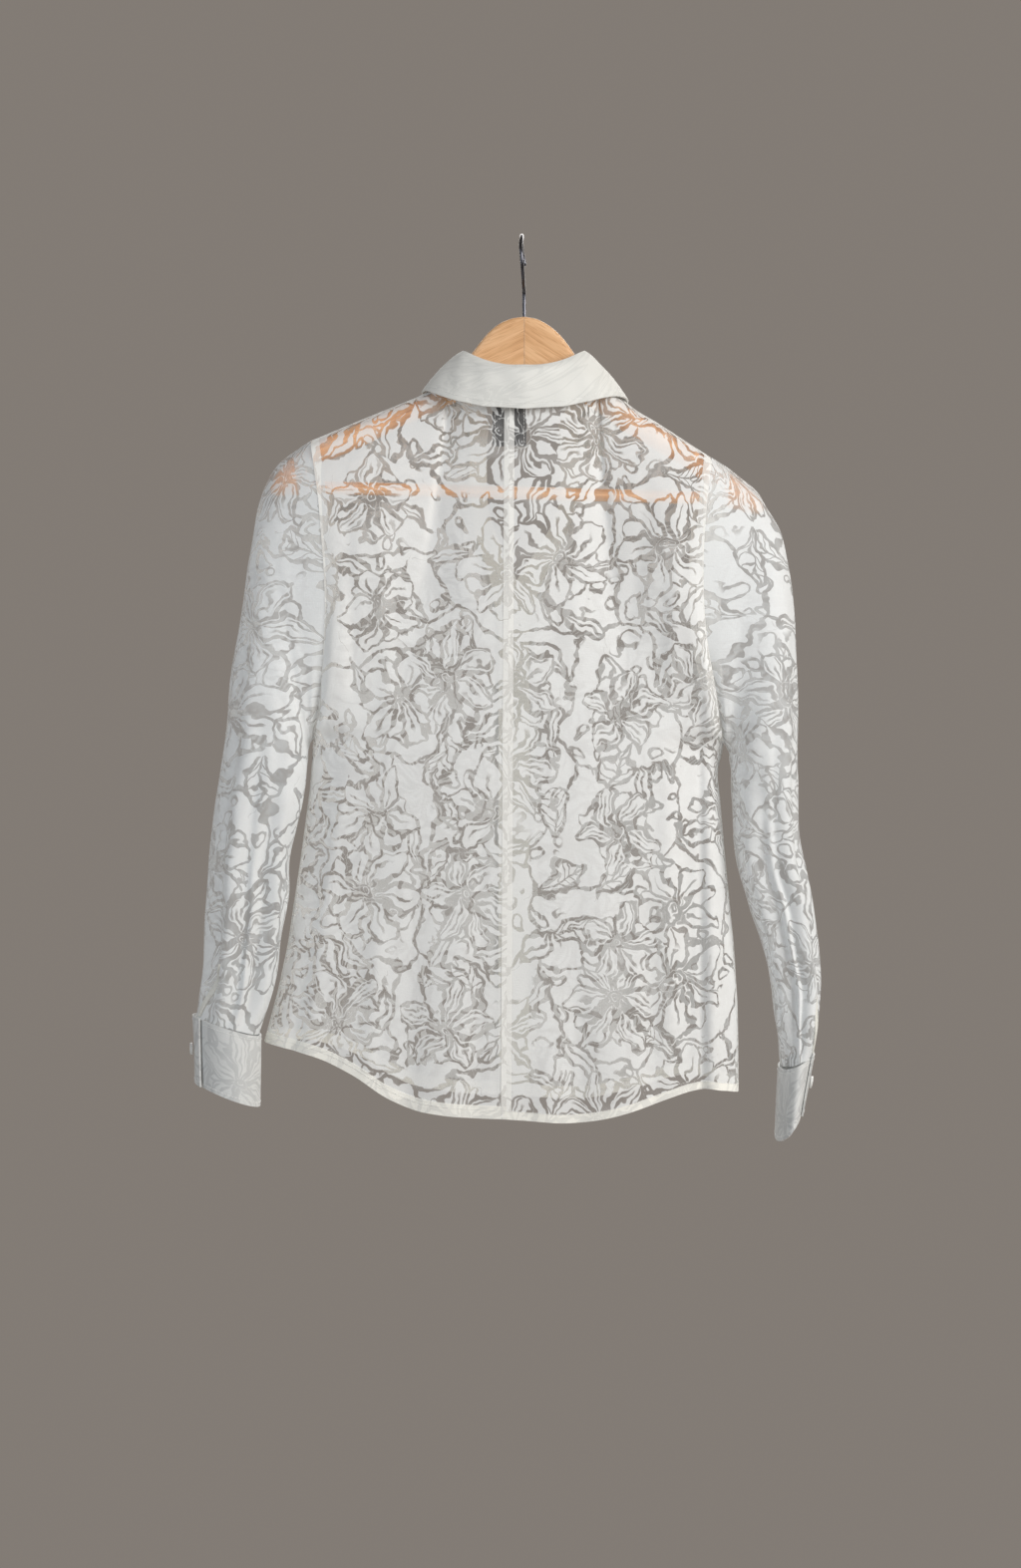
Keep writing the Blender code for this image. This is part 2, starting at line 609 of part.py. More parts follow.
def ring_points(side, ring, number, roundness, start=0.0, stop=360.0, count=2 * ARM_ROWS, grow=0.0):
    """The points of one ring of a sleeve or cuff."""
    outer = np.array([ring.out_x, ring.out_y, ring.out_z])
    inner = np.array([ring.in_x, ring.in_y, ring.in_z])
    chord_top, chord_low = (SHOULDER[side][-1], SIDE_SEAM[side][0])
    points = []
    for n in range(count):
        angle = start + (stop - start) * n / (count if stop - start == 360.0 else count - 1)
        turn = math.radians(angle)
        share = (1 - math.cos(turn)) / 2
        depth = ring.half * abs(math.sin(turn)) ** roundness * (-1 if math.sin(turn) > 0 else 1)
        point = outer + (inner - outer) * share + np.array([0, depth, 0])
        if number is not None:
            z = chord_top.z + (chord_low.z - chord_top.z) * share
            chord_x = chord_top.x + (chord_low.x - chord_top.x) * share
            bow = along(ARMHOLE[side], "z", z, "x") - chord_x
            point[0] += bow * max(0.0, 1 - number / BOW_RINGS) ** 2
            point[1] += math.copysign(crease_rise(side, angle, number), depth)
        if grow:
            span = outer - inner
            away = unit(2 * span * math.cos(turn) / (span @ span) - np.array([0, math.sin(turn) / ring.half, 0]))
            point = point + away * grow * (angle - start) / (stop - start)
        points.append(point)
    return np.array(points)


def crease_rise(side, angle, number):
    rise = 0.0
    for crease in CREASES[side]:
        if not crease.first < number <= crease.last:
            continue
        share = (number - crease.first) / (crease.last - crease.first)
        middle = crease.angle_top + (crease.angle_low - crease.angle_top) * share
        grow = math.sin(math.pi * min(1.0, share * 1.4) * 0.5)
        rise += crease.depth * grow * math.exp(-(((angle - middle) / crease.width) ** 2))
    return rise


def ring_outward(grid):
    return grid - grid.mean(axis=1, keepdims=True)


def make_sleeves():
    """The set-in sleeves, as tubes from the armhole seam to the cuff. It returns their points and normals."""
    made = {}
    for side, way in ((LEFT, "left"), (RIGHT, "right")):
        rings = []
        for number, ring in enumerate(SLEEVE[side]):
            share = min(1.0, number / 8)
            roundness = ARMHOLE_ROUNDNESS + (RING_ROUNDNESS - ARMHOLE_ROUNDNESS) * share
            rings.append(ring_points(side, ring, number, roundness))
        grid = np.array(rings)
        for n in range(2 * ARM_ROWS):
            turn = math.pi * n / ARM_ROWS
            face = BACK if n <= ARM_ROWS else FRONT
            seam = armhole_point(side, face, turn if n <= ARM_ROWS else 2 * math.pi - turn)
            if n in (0, ARM_ROWS):
                seam[1] = 0.0
            grid[0, n] = seam + np.array([side * 0.5, 0, 0])
        normals = normals_of(grid, ring_outward(grid), ring=True)
        without(normals, np.s_[0, :], 0)
        keep(f"sleeve_{way}", wall(grid, normals, WALL, ring=True), "sheer_cloth", SHEER)
        made[side] = grid, normals
    return made


def make_cuffs():
    """Each cuff is a band wrapped round the wrist, its ends lapped where it buttons."""
    made = {}
    for side, way in ((LEFT, "left"), (RIGHT, "right")):
        top, low = CUFF[side]
        lap = CUFF_OVERLAP
        rows = []
        for share in (0.0, 0.33, 0.67, 1.0):
            ring = Ring(*(a + (b - a) * share for a, b in zip(top, low)))
            grown = ring_points(side, ring, None, RING_ROUNDNESS, 20.0, 380.0 + lap, 27, CUFF_GROWTH)
            rows.append(grown)
        grid = np.array(rows)
        normals = normals_of(grid, ring_outward(grid))
        keep(f"cuff_{way}", wall(grid, normals, CUFF_WALL), "plain_cloth", PLAIN)
        made[side] = grid, normals
    return made


def strip_on(grid, normals, path, half_width, thick, ring):
    """A narrow strip on a grid along a path of (row, column), lifted clear of it."""
    rows = []
    turned = []
    for row, column in path:
        spots = [(row, column - half_width), (row, column), (row, column + half_width)]
        facing = [unit(spot_on(normals, *spot, ring)) for spot in spots]
        rows.append([spot_on(grid, *spot, ring) + n * (LIFT + thick) for spot, n in zip(spots, facing)])
        turned.append(facing)
    return wall(np.array(rows), np.array(turned), thick)


def make_bindings(sleeves):
    """The bound slit above each cuff, on the back of the sleeve."""
    for side, way, top_column, low_column in ((LEFT, "left", 3.6, 1.8), (RIGHT, "right", 2.2, 1.6)):
        grid, normals = sleeves[side]
        path = [(15.6 + 2.35 * share, top_column + (low_column - top_column) * share) for share in np.linspace(0, 1, 7)]
        shape = strip_on(grid, normals, path, 0.22, WALL, ring=True)
        keep(f"binding_{way}", shape, "plain_cloth", PLAIN)


def make_label(bodies):
    """The bare black label that hangs from the neck seam, on the inside of the back."""
    halves = {side: bodies[side, BACK] for side in (LEFT, RIGHT)}
    rows, facing = [], []
    for z in np.linspace(*LABEL_Z, 6):
        row = []
        for x in np.linspace(*LABEL_X, 7):
            side = LEFT if x < centre_back(z)[0] else RIGHT
            grid, normals = halves[side]
            flat = grid[: ARM_ROWS + 4].reshape(-1, 3)
            near = np.argsort((flat[:, 0] - x) ** 2 + (flat[:, 2] - z) ** 2)[:4]
            weight = 1 / (np.hypot(flat[near, 0] - x, flat[near, 2] - z) + 0.5)
            y = (flat[near, 1] * weight).sum() / weight.sum()
            row.append([x, y, z])
        deepest = max(point[1] for point in row)
        rows.append([[x, deepest, z] for x, y, z in row])
        facing.append([[0.0, -1.0, 0.0]] * len(row))
    grid = np.array(rows)
    grid[..., 1] = np.maximum.accumulate(grid[::-1, :, 1], axis=0)[::-1] + WALL + 2 * LIFT
    keep("neck_label", wall(grid, np.array(facing), LABEL_WALL), "label_cloth", LABEL)


def button(name, place, facing):
    """A round button with a raised rim, its back on the cloth at that place."""
    shape = bmesh.new()
    bmesh.ops.create_cone(
        shape, cap_ends=True, segments=16, radius1=BUTTON_RADIUS, radius2=BUTTON_RADIUS, depth=BUTTON_THICKNESS
    )
    top = max(shape.faces, key=lambda f: f.calc_center_median().z)
    bmesh.ops.inset_region(shape, faces=[top], thickness=BUTTON_RIM, depth=0.0)
    bmesh.ops.translate(shape, vec=(0, 0, -BUTTON_DISH), verts=top.verts)
    facing = Vector(facing)
    turn = facing.to_track_quat("Z", "Y").to_matrix().to_4x4()
    middle = Vector(place) + facing * (BUTTON_THICKNESS / 2 + SEAM)
    bmesh.ops.transform(shape, matrix=Matrix.Translation(middle) @ turn, verts=shape.verts)
    keep(name, shape, "shell_button", SHELL_BUTTON)


def make_buttons(bands, cuffs):
    """The fastened buttons on the right band, the open ones on the left band, and one on each cuff."""
    for number in range(FASTENED_BUTTONS):
        z = BUTTON_TOP_Z - BUTTON_SPACING * number
        button(f"front_button_{number + 2}", (CLOSURE_X, half_depth(z), z), (0, 1, 0))
    grid, normals = bands[LEFT]
    row = int(np.argmin(np.abs(grid[:, 1, 2] - OPEN_BUTTON_Z)))
    place = (grid[row, 1] + grid[row, 2]) / 2
    facing = unit(normals[row, 1] + normals[row, 2])
    button("front_button_1", place + facing * 0.4, facing)
    for side, way in ((LEFT, "left"), (RIGHT, "right")):
        grid, normals = cuffs[side]
        facing = unit(normals[1, -3] + normals[2, -3])
        place = (grid[1, -3] + grid[2, -3]) / 2
        button(f"cuff_button_{way}", place + facing * 0.35, facing)


def make_arms():
    """The two shaped wooden arms, glued at the mitre under the hook."""
    for side, way in ((LEFT, "left"), (RIGHT, "right")):
        shape = bmesh.new()
        loops = []
        for section in ARM[side]:
            middle, rise = (section.top + section.low) / 2, (section.top - section.low) / 2
            loop = []
            for n in range(SECTION_POINTS):
                turn = 2 * math.pi * n / SECTION_POINTS
                across, up = math.cos(turn), math.sin(turn)
                y = section.half * math.copysign(abs(across) ** (2 / section.square), across)
                z = rise * math.copysign(abs(up) ** (2 / section.square), up)
                loop.append(shape.verts.new((section.x, section.y + y, middle + z)))
            loops.append(loop)
        for first, second in zip(loops, loops[1:]):
            for n in range(SECTION_POINTS):
                m = (n + 1) % SECTION_POINTS
                shape.faces.new((first[n], first[m], second[m], second[n]))
        shape.faces.new(loops[0])
        shape.faces.new(loops[-1])
        bmesh.ops.recalc_face_normals(shape, faces=shape.faces)
        keep(f"hanger_arm_{way}", shape, "hanger_wood", WOOD)


def make_bar():
    """The round trouser bar between the arms' ends."""
    left, right = (Vector(end) for end in BAR_ENDS)
    shape = bmesh.new()
    length = (right - left).length
    bmesh.ops.create_cone(shape, cap_ends=True, segments=20, radius1=BAR_RADIUS, radius2=BAR_RADIUS, depth=length)
    turn = (right - left).to_track_quat("Z", "Y").to_matrix().to_4x4()
    bmesh.ops.transform(shape, matrix=Matrix.Translation((left + right) / 2) @ turn, verts=shape.verts)
    keep("hanger_bar", shape, "hanger_wood", WOOD)


def hook_path():
    """The hook's wire: from its tip over the crook, round the near side and down the shank."""
    middle_z = WIRE_RADIUS - CROOK_RADIUS
    points = []
    for degrees in np.linspace(-2, 222, 27):
        turn = math.radians(degrees)
        y, z = CROOK_RADIUS * math.cos(turn), middle_z + CROOK_RADIUS * math.sin(turn)
        points.append(np.array([0.0, y, z]))
    last, ahead = points[-1], unit(points[-1] - points[-2]) * 26.0
    low, below = np.array([0.0, 0.0, -54.0]), np.array([0.0, 0.0, -26.0])
    for share in np.linspace(0, 1, 8)[1:]:
        a, b = 2 * share**3 - 3 * share**2 + 1, share**3 - 2 * share**2 + share
        c, d = -2 * share**3 + 3 * share**2, share**3 - share**2
        points.append(last * a + ahead * b + low * c + below * d)
    points.append(np.array([0.0, 0.0, HANGER_TOP_Z + SEAM]))
    sway = [(-80, HANGER_X), (-50, 1.2), (-20, -1.2), (-10, -2.0), (4, -0.4)]
    for point in points:
        point[0] = np.interp(point[2], [z for z, _ in sway], [x for _, x in sway])
    for number, point in enumerate(points[:7]):
        point[0] += 3.6 * (1 - number / 7)
    return points


def make_hook():
    """The dark wire hook, screwed into the wood where the arms meet."""
    curve = bpy.data.curves.new("hook", "CURVE")
    curve.dimensions = "3D"
    curve.bevel_depth = WIRE_RADIUS * MM
    curve.bevel_resolution = 2
    curve.use_fill_caps = True
    path = hook_path()
    line = curve.splines.new("POLY")
    line.points.add(len(path) - 1)
    for spot, point in zip(line.points, path):
        spot.co = (*(point * MM), 1.0)
    curve.materials.append(material("dark_metal", DARK_METAL))
    bpy.context.scene.collection.objects.link(bpy.data.objects.new("hook", curve))


clear_scene()
bodies = make_bodies()
bands = make_bands(bodies)
make_collar()
sleeves = make_sleeves()
cuffs = make_cuffs()
make_bindings(sleeves)
make_label(bodies)
make_buttons(bands, cuffs)
make_arms()
make_bar()
make_hook()
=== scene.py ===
"""The looks of a sheer long-sleeved shirt that hangs on its wooden suit hanger, seen from its back.

The frame is the CAD part's: the origin is the inside top of the hook's crook, +Z is up, and the camera looks
along +Y at the shirt's back. Tables are in millimetres, and a mesh gets its points in metres.
"""

import math
from collections import namedtuple

import bmesh
import bpy
import numpy as np
from mathutils import Matrix, Vector


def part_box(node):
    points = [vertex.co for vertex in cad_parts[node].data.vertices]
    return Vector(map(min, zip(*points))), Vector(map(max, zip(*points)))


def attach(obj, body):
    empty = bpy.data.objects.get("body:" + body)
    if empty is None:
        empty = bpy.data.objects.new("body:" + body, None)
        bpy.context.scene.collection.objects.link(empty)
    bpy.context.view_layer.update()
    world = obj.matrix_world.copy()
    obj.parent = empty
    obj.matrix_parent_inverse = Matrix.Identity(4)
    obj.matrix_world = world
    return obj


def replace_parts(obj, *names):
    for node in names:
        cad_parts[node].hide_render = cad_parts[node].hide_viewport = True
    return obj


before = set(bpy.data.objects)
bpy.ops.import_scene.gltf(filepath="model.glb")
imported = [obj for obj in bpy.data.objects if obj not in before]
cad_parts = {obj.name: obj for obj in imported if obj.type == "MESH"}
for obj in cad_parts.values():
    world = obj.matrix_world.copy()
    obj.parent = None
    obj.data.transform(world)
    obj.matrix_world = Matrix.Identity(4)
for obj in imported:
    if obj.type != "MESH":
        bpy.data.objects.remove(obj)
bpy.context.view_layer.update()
MM = 0.001
UP = np.array([0, 0, 1])
LEFT, RIGHT = -1, 1
BACK, FRONT = -1, 1
WAYS = ((LEFT, "left"), (RIGHT, "right"))


class Value:
    """A socket of a material. Plain arithmetic on it adds Math nodes, and node() adds any other node."""

    def __init__(self, tree, socket=None):
        self.tree = tree
        self.socket = socket

    def join(self, value, socket):
        if isinstance(value, Value):
            self.tree.links.new(value.socket, socket)
        else:
            socket.default_value = value

    def node(self, kind, settings, inputs, output=0):
        made = self.tree.nodes.new("ShaderNode" + kind)
        for name, value in settings.items():
            if name == "stops":
                made.color_ramp.elements[0].position, made.color_ramp.elements[0].color = value[0]
                made.color_ramp.elements[1].position, made.color_ramp.elements[1].color = value[-1]
                for place, colour in value[1:-1]:
                    made.color_ramp.elements.new(place).color = colour
            else:
                setattr(made, name, value)
        for name, value in inputs.items():
            self.join(value, made.inputs[name])
        return Value(self.tree, made.outputs[output])

    def other(self, output):
        """Another output of the node that this value comes from."""
        return Value(self.tree, self.socket.node.outputs[output])

    def maths(self, operation, *values):
        return self.node("Math", {"operation": operation}, dict(enumerate(values)))

    def vector(self, operation, *values, output=0):
        return self.node("VectorMath", {"operation": operation}, dict(enumerate(values)), output)

    def mix(self, factor, first, second, blend="MIX"):
        settings = {"data_type": "RGBA", "blend_type": blend}
        return self.node("Mix", settings, {0: factor, 6: first, 7: second}, 2)

    def __add__(self, other):
        return self.maths("ADD", self, other)

    def __sub__(self, other):
        return self.maths("SUBTRACT", self, other)

    def __rsub__(self, other):
        return self.maths("SUBTRACT", other, self)

    def __mul__(self, other):
        return self.maths("MULTIPLY", self, other)

    def __truediv__(self, other):
        return self.maths("DIVIDE", self, other)

    def __abs__(self):
        return self.maths("ABSOLUTE", self)

    __radd__ = __add__
    __rmul__ = __mul__

    def fraction(self):
        return self.maths("FRACT", self)

    def at_least(self, other):
        return self.maths("MAXIMUM", self, other)

    def at_most(self, other):
        return self.maths("MINIMUM", self, other)

    def over(self, edge, soft):
        """0 below the edge and 1 above it, with a soft step between."""
        settings = {"interpolation_type": "SMOOTHSTEP"}
        limits = {"Value": self, "From Min": edge - soft, "From Max": edge + soft}
        return self.node("MapRange", settings, limits)

    def line(self, half_width, soft=0.35):
        """1 where this value is nearer to 0 than the half width."""
        return 1 - (abs(self) - half_width).over(0.0, soft)


# Sheer cloth: a fine white weave of cotton and viscose, with flowers and leaves drawn in burnt-out lines.
# The ground stays close and hides most of what is behind it, and the burnt-out lines show it.
# Where it lies double or is faced, at hems, seams, cuffs and collar, the drawing is faint in its own white.
Drawn = namedtuple("Drawn", "ground ground_alpha line line_alpha")
DRAWN_CLOTHS = {
    "sheer_cloth": Drawn((0.90, 0.912, 0.91, 1), 0.77, (0.56, 0.55, 0.535, 1), 0.15),
    # The sleeves show two layers, so their lines are fainter. Their darker, cooler ground is painted cool
    # shade.
    "sleeve_cloth": Drawn((0.865, 0.89, 0.90, 1), 0.79, (0.60, 0.605, 0.605, 1), 0.36),
    "doubled_cloth": Drawn((0.95, 0.94, 0.88, 1), 0.97, (0.88, 0.875, 0.83, 1), 0.88),
    "seam_cloth": Drawn((0.95, 0.95, 0.92, 1), 0.90, (0.86, 0.855, 0.83, 1), 0.66),
    "cuff_cloth": Drawn((0.72, 0.735, 0.73, 1), 0.95, (0.60, 0.615, 0.615, 1), 0.92),
    "collar_cloth": Drawn((0.79, 0.793, 0.76, 1), 0.98, (0.735, 0.74, 0.71, 1), 0.96),
}
FLOWER_CELL = 98.0
FLOWER_SPREAD = 0.7
LEAF_CELL = 50.0
BUD_CELL = 20.0
SWAY = 26.0
SHAKE = 5.0
PETAL_WIDTH = 10.5
BACK_PETAL_WIDTH = 9.0
EYE_RADIUS = 5.5
EDGE_SOFTNESS = 0.4


def noise(tree, vector, size, detail=1.0, output="Fac"):
    """Noise whose lumps are about this many millimetres wide."""
    inputs = {"Vector": vector, "Scale": 1 / size, "Detail": detail}
    return tree.node("TexNoise", {"noise_dimensions": "2D"}, inputs, output)


def strayed(tree, cloth, size, reach, start):
    """The start moved by uneven noise, by up to half the reach."""
    off = tree.vector("SUBTRACT", noise(tree, cloth, size, output="Color"), (0.5, 0.5, 0.5))
    return tree.vector("MULTIPLY_ADD", off, (reach, reach, 0.0), start)


def cell(tree, vector, size, randomness):
    """Where a point lies from the middle of its cell, in millimetres, and two random numbers of that cell."""
    settings = {"voronoi_dimensions": "2D", "feature": "F1"}
    inputs = {"Vector": vector, "Scale": 1 / size, "Randomness": randomness}
    found = tree.node("TexVoronoi", settings, inputs, "Color")
    split = tree.node("SeparateColor", {}, {"Color": found})
    return tree.vector("SUBTRACT", vector, found.other("Position")), split, split.other(1)


def petals(angle, radius, count, turn, reach, width):
    """For pointed petals: the distance across a petal, its half width there, and the share along it."""
    share = (angle * count / math.tau + turn).fraction() - 0.5
    across = abs(share) * radius * math.tau / count
    along = ((radius - 5.0) / (reach - 5.0)).at_least(0.0).at_most(1.0)
    half = along * (1 - along) * (0.6 + 0.8 * along) * width * 4.0
    return across, half, along


def line_drawing(tree, cloth):
    """How much of a point is burnt out: 0 on the ground, 1 in a drawn line. The vector is in millimetres."""
    drawn = strayed(tree, cloth, 8.0, SHAKE, strayed(tree, cloth, 30.0, SWAY, cloth))
    pen = 0.85 + noise(tree, cloth, 11.0, 2.0) * 2.3

    place, chance, other = cell(tree, drawn, FLOWER_CELL, FLOWER_SPREAD)
    radius = tree.vector("LENGTH", place, output="Value")
    split = tree.node("SeparateXYZ", {}, {0: place})
    angle = tree.maths("ARCTAN2", split.other(1), split) + chance * math.tau
    reach = 37.0 + other * 14.0
    count = 5.0 + tree.maths("ROUND", other)
    across, half, along = petals(angle, radius, count, 0.0, reach, PETAL_WIDTH)
    behind, behind_half, behind_along = petals(angle, radius, count, 0.5, reach * 0.86, BACK_PETAL_WIDTH)
    front_row = 1 - (across - half).over(0.0, EDGE_SOFTNESS)
    back_row = (1 - (behind - behind_half).over(0.0, EDGE_SOFTNESS)) * (1 - front_row)
    drawing = (across - half).line(pen) * along.over(0.06, 0.03) * (1 - along.over(0.985, 0.01))
    drawing = drawing.at_least(across.line(pen * 0.6) * along.over(0.14, 0.04) * (1 - along.over(0.62, 0.1)))
    pleats = (across - half * 0.52).line(pen * 0.5) * along.over(0.4, 0.1) * (1 - along.over(0.86, 0.05))
    drawing = drawing.at_least(pleats * chance.over(0.45, 0.02))
    outline = (behind - behind_half).line(pen) * (1 - front_row) * behind_along.over(0.3, 0.05)
    drawing = drawing.at_least(outline * (1 - behind_along.over(0.985, 0.01)))
    drawing = drawing.at_least((radius - EYE_RADIUS).line(pen * 0.8)).at_least((radius - 1.8).line(pen * 0.6))
    flower = front_row.at_least(back_row) * (1 - (radius - reach).over(0.0, 1.0))

    place, chance, other = cell(tree, drawn, LEAF_CELL, 0.85)
    spin = {"Vector": place, "Angle": chance * math.tau}
    split = tree.node("SeparateXYZ", {}, {0: tree.node("VectorRotate", {"rotation_type": "Z_AXIS"}, spin)})
    side = abs(split.other(1))
    share = split / (21.0 + other * 7.0)
    half = (1 - share * share).at_least(0.0) * (1 + 0.35 * share) * (6.5 + other * 5.0)
    inside = 1 - (side - half).over(0.0, EDGE_SOFTNESS)
    leaves = (side - half).line(pen) * (1 - abs(share).over(1.02, 0.03))
    leaves = leaves.at_least(side.line(pen * 0.55) * inside)
    slant = (split + side * -1.1) / 8.5
    veins = (abs(slant.fraction() - 0.5) - 0.11).over(0.0, 0.05)
    leaves = leaves.at_least((1 - veins) * inside * other.over(0.55, 0.02))
    drawing = drawing.at_least(leaves * (1 - flower))

    free = (1 - flower) * (1 - inside)
    place, chance, other = cell(tree, drawn, BUD_CELL, 0.9)
    radius = tree.vector("LENGTH", place, output="Value")
    buds = (radius - (3.8 + chance * 2.8)).line(pen * 0.7) * noise(tree, cloth, 60.0).over(0.5, 0.03)
    drawing = drawing.at_least(buds * free)
    settings = {"voronoi_dimensions": "2D", "feature": "DISTANCE_TO_EDGE"}
    inputs = {"Vector": drawn, "Scale": 1 / FLOWER_CELL, "Randomness": FLOWER_SPREAD}
    stems = tree.node("TexVoronoi", settings, inputs, "Distance")
    drawing = drawing.at_least((stems * FLOWER_CELL).line(pen * 0.9) * free)
    return drawing * (0.72 + 0.28 * noise(tree, cloth, 26.0).over(0.45, 0.12))


materials = {}


def principled(name, **inputs):
    """A new material with one Principled shader: what adds nodes to it, and the shader's inputs."""
    made = bpy.data.materials.new(name)
    made.use_nodes = True
    materials[name] = made
    tree = Value(made.node_tree)
    sockets = made.node_tree.nodes["Principled BSDF"].inputs
    for key, value in inputs.items():
        tree.join(value, sockets[key.replace("_", " ")])
    return tree, sockets


def object_place(tree):
    """Where a point lies in the part, in metres."""
    return tree.node("TexCoord", {}, {}, "Object")


def solid_noise(tree, vector, scale, detail, distortion=0.0):
    """Noise in three dimensions, with this many lumps to a unit of the vector."""
    inputs = {"Vector": vector, "Scale": scale, "Detail": detail, "Distortion": distortion}
    return tree.node("TexNoise", {}, inputs, "Fac")


def bump(tree, sockets, strength, depth, height):
    """Raises a surface by a height of 1 at this depth in metres."""
    made = tree.node("Bump", {}, {"Strength": strength, "Distance": depth, "Height": height}, "Normal")
    tree.join(made, sockets["Normal"])


def woven_bump(tree, sockets, cloth, size, strength):
    """Uneven weft threads with finer warp between them."""
    weft = tree.node("Mapping", {"vector_type": "POINT"}, {"Vector": cloth, "Scale": (0.12, 1.0, 1.0)})
    warp = tree.node("Mapping", {"vector_type": "POINT"}, {"Vector": cloth, "Scale": (1.0, 0.15, 1.0)})
    bump(tree, sockets, strength, 0.0004, noise(tree, weft, size, 2.0) + noise(tree, warp, size * 0.7) * 0.6)


def drawn_cloth(name, look):
    """Cloth with the line drawing on it. Its own flat coordinates are a UV layer in metres."""
    tree, sockets = principled(name, Roughness=0.62, Sheen_Weight=0.25, Sheen_Roughness=0.4, IOR=1.4)
    flat = tree.node("UVMap", {"uv_map": "cloth"}, {})
    cloth = tree.node("VectorMath", {"operation": "SCALE"}, {0: flat, "Scale": 1000.0})
    drawing = line_drawing(tree, cloth)
    tree.join(tree.mix(drawing, look.ground, look.line), sockets["Base Color"])
    ground_alpha = look.ground_alpha + noise(tree, cloth, 1.6, 1.0) * 0.05
    tree.join(ground_alpha - drawing * (look.ground_alpha - look.line_alpha), sockets["Alpha"])
    woven_bump(tree, sockets, cloth, 0.8, 0.35)


for name, look in DRAWN_CLOTHS.items():
    drawn_cloth(name, look)


# Plain cloth: the close white cotton of the button bands and bindings, which shows only its own weave, and
# the white thread that all of the shirt is sewn with.
PLAIN_COLOUR = (0.77, 0.768, 0.72, 1.0)
THREAD_COLOUR = (0.88, 0.88, 0.86, 1.0)
STITCH_LENGTH = 2.2
STITCH_GAP = 1.0
STITCH_RADIUS = 0.22

tree, sockets = principled(
    "plain_cloth", Base_Color=PLAIN_COLOUR, Roughness=0.7, Sheen_Weight=0.2, Sheen_Roughness=0.4, IOR=1.4
)
seen_flat = {"Vector": object_place(tree), "Rotation": (math.pi / 2, 0, 0), "Scale": (1000, 1000, 1000)}
woven_bump(tree, sockets, tree.node("Mapping", {}, seen_flat), 0.7, 0.4)
principled("sewing_thread", Base_Color=THREAD_COLOUR, Roughness=0.5, IOR=1.45)


def add_piece(name, shape, slot, *looks, sharp=None):
    """The object that a bmesh in metres becomes; its slot is not used. Edges over a sharp angle stay crisp.
    """
    mesh = bpy.data.meshes.new(name)
    shape.to_mesh(mesh)
    shape.free()
    for look in looks:
        mesh.materials.append(materials[look])
    made = bpy.data.objects.new(name, mesh)
    bpy.context.scene.collection.objects.link(made)
    if sharp:
        mesh.set_sharp_from_angle(angle=math.radians(sharp))
    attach(made, "root")
    return made


def smooth(shape):
    for face in shape.faces:
        face.smooth = True


def turned_to(way, middle):
    """The matrix that turns +Z to this way and moves the origin to this middle."""
    return Matrix.Translation(middle) @ way.to_track_quat("Z", "Y").to_matrix().to_4x4()


def add_rod(shape, segments, radius, length, place=Matrix(), material=0):
    """Adds a capped rod to a bmesh and gives its faces this number of material."""
    made = bmesh.ops.create_cone(
        shape, cap_ends=True, segments=segments, radius1=radius, radius2=radius, depth=length, matrix=place
    )
    for face in {face for vert in made["verts"] for face in vert.link_faces}:
        face.material_index = material


def stitches(name, path, normals, slot):
    """A row of short threads laid end to end along a path of points in millimetres, proud of the cloth."""
    place = np.concatenate([[0], np.cumsum(np.linalg.norm(np.diff(path, axis=0), axis=-1))])

    def at(where, points):
        return Vector([np.interp(where, place, points[:, axis]) for axis in range(3)])

    shape = bmesh.new()
    for start in np.arange(0.5, place[-1] - STITCH_LENGTH, STITCH_LENGTH + STITCH_GAP):
        first, last = at(start, path), at(start + STITCH_LENGTH, path)
        middle = (first + last) / 2 + at(start, normals) * 0.1
        add_rod(shape, 4, STITCH_RADIUS, (last - first).length, turned_to(last - first, middle))
    bmesh.ops.scale(shape, vec=(MM, MM, MM), verts=shape.verts)
    return add_piece(name, shape, slot, "sewing_thread")


# The body: two fronts and two halves of the back, cut from the sheer cloth and joined at the shoulders,
# sides and centre back. Each hangs as one sheet, with uneven folds that fall from the chest to the hem.
NECK_X = 1.0
NECK_HALF_WIDTH = 68.0
NECK_BACK = 40.0
NECK_FRONT = 44.0
NECK_BACK_Z = -149.0
NECK_SIDE_Z = -125.5
NECK_FRONT_DROP = 59.0
NECK_END = 150.0
BAND_ANGLE = 133.0
CENTRE_BACK_ANGLE = -11.0
HEM_Z = -790.0
HEM_DEPTH = 9.0
CENTRE_BACK_X = -12.0
CENTRE_BACK_HEM_X = -14.9
UNDERARM_Z = {LEFT: -452.0, RIGHT: -455.9}
ARMHOLE_HALF_DEPTH = 44.0
CHEST_HALF_DEPTH = 51.0
HEM_HALF_DEPTH = 43.0
SIDE_ROUNDNESS = 2.4
SHOULDER_EASE = 12.0
FRONT_HEM_RISE = 12.0
ARM_ROWS = 10
PANEL_COLUMNS = 12
NECK_COLUMNS = 6
BAND_WIDTH = 28.0
CLOSURE_X = -8.0
FINE_ROWS = 181
FINE_COLUMNS = 109
WEAVE_START = {
    (LEFT, BACK): (200, 55), (RIGHT, BACK): (740, -245),
    (LEFT, FRONT): (-1090, 700), (RIGHT, FRONT): (-620, 310),
}
EDGE_FADE = 26.0
FOLDS_START = 20.0
FOLDS_FULL = 110.0
OPEN_Z = -225.0
CLOSED_Z = -350.0

Spot = namedtuple("Spot", "x z")


def listed(kind, table):
    return [kind(*row) for row in table]


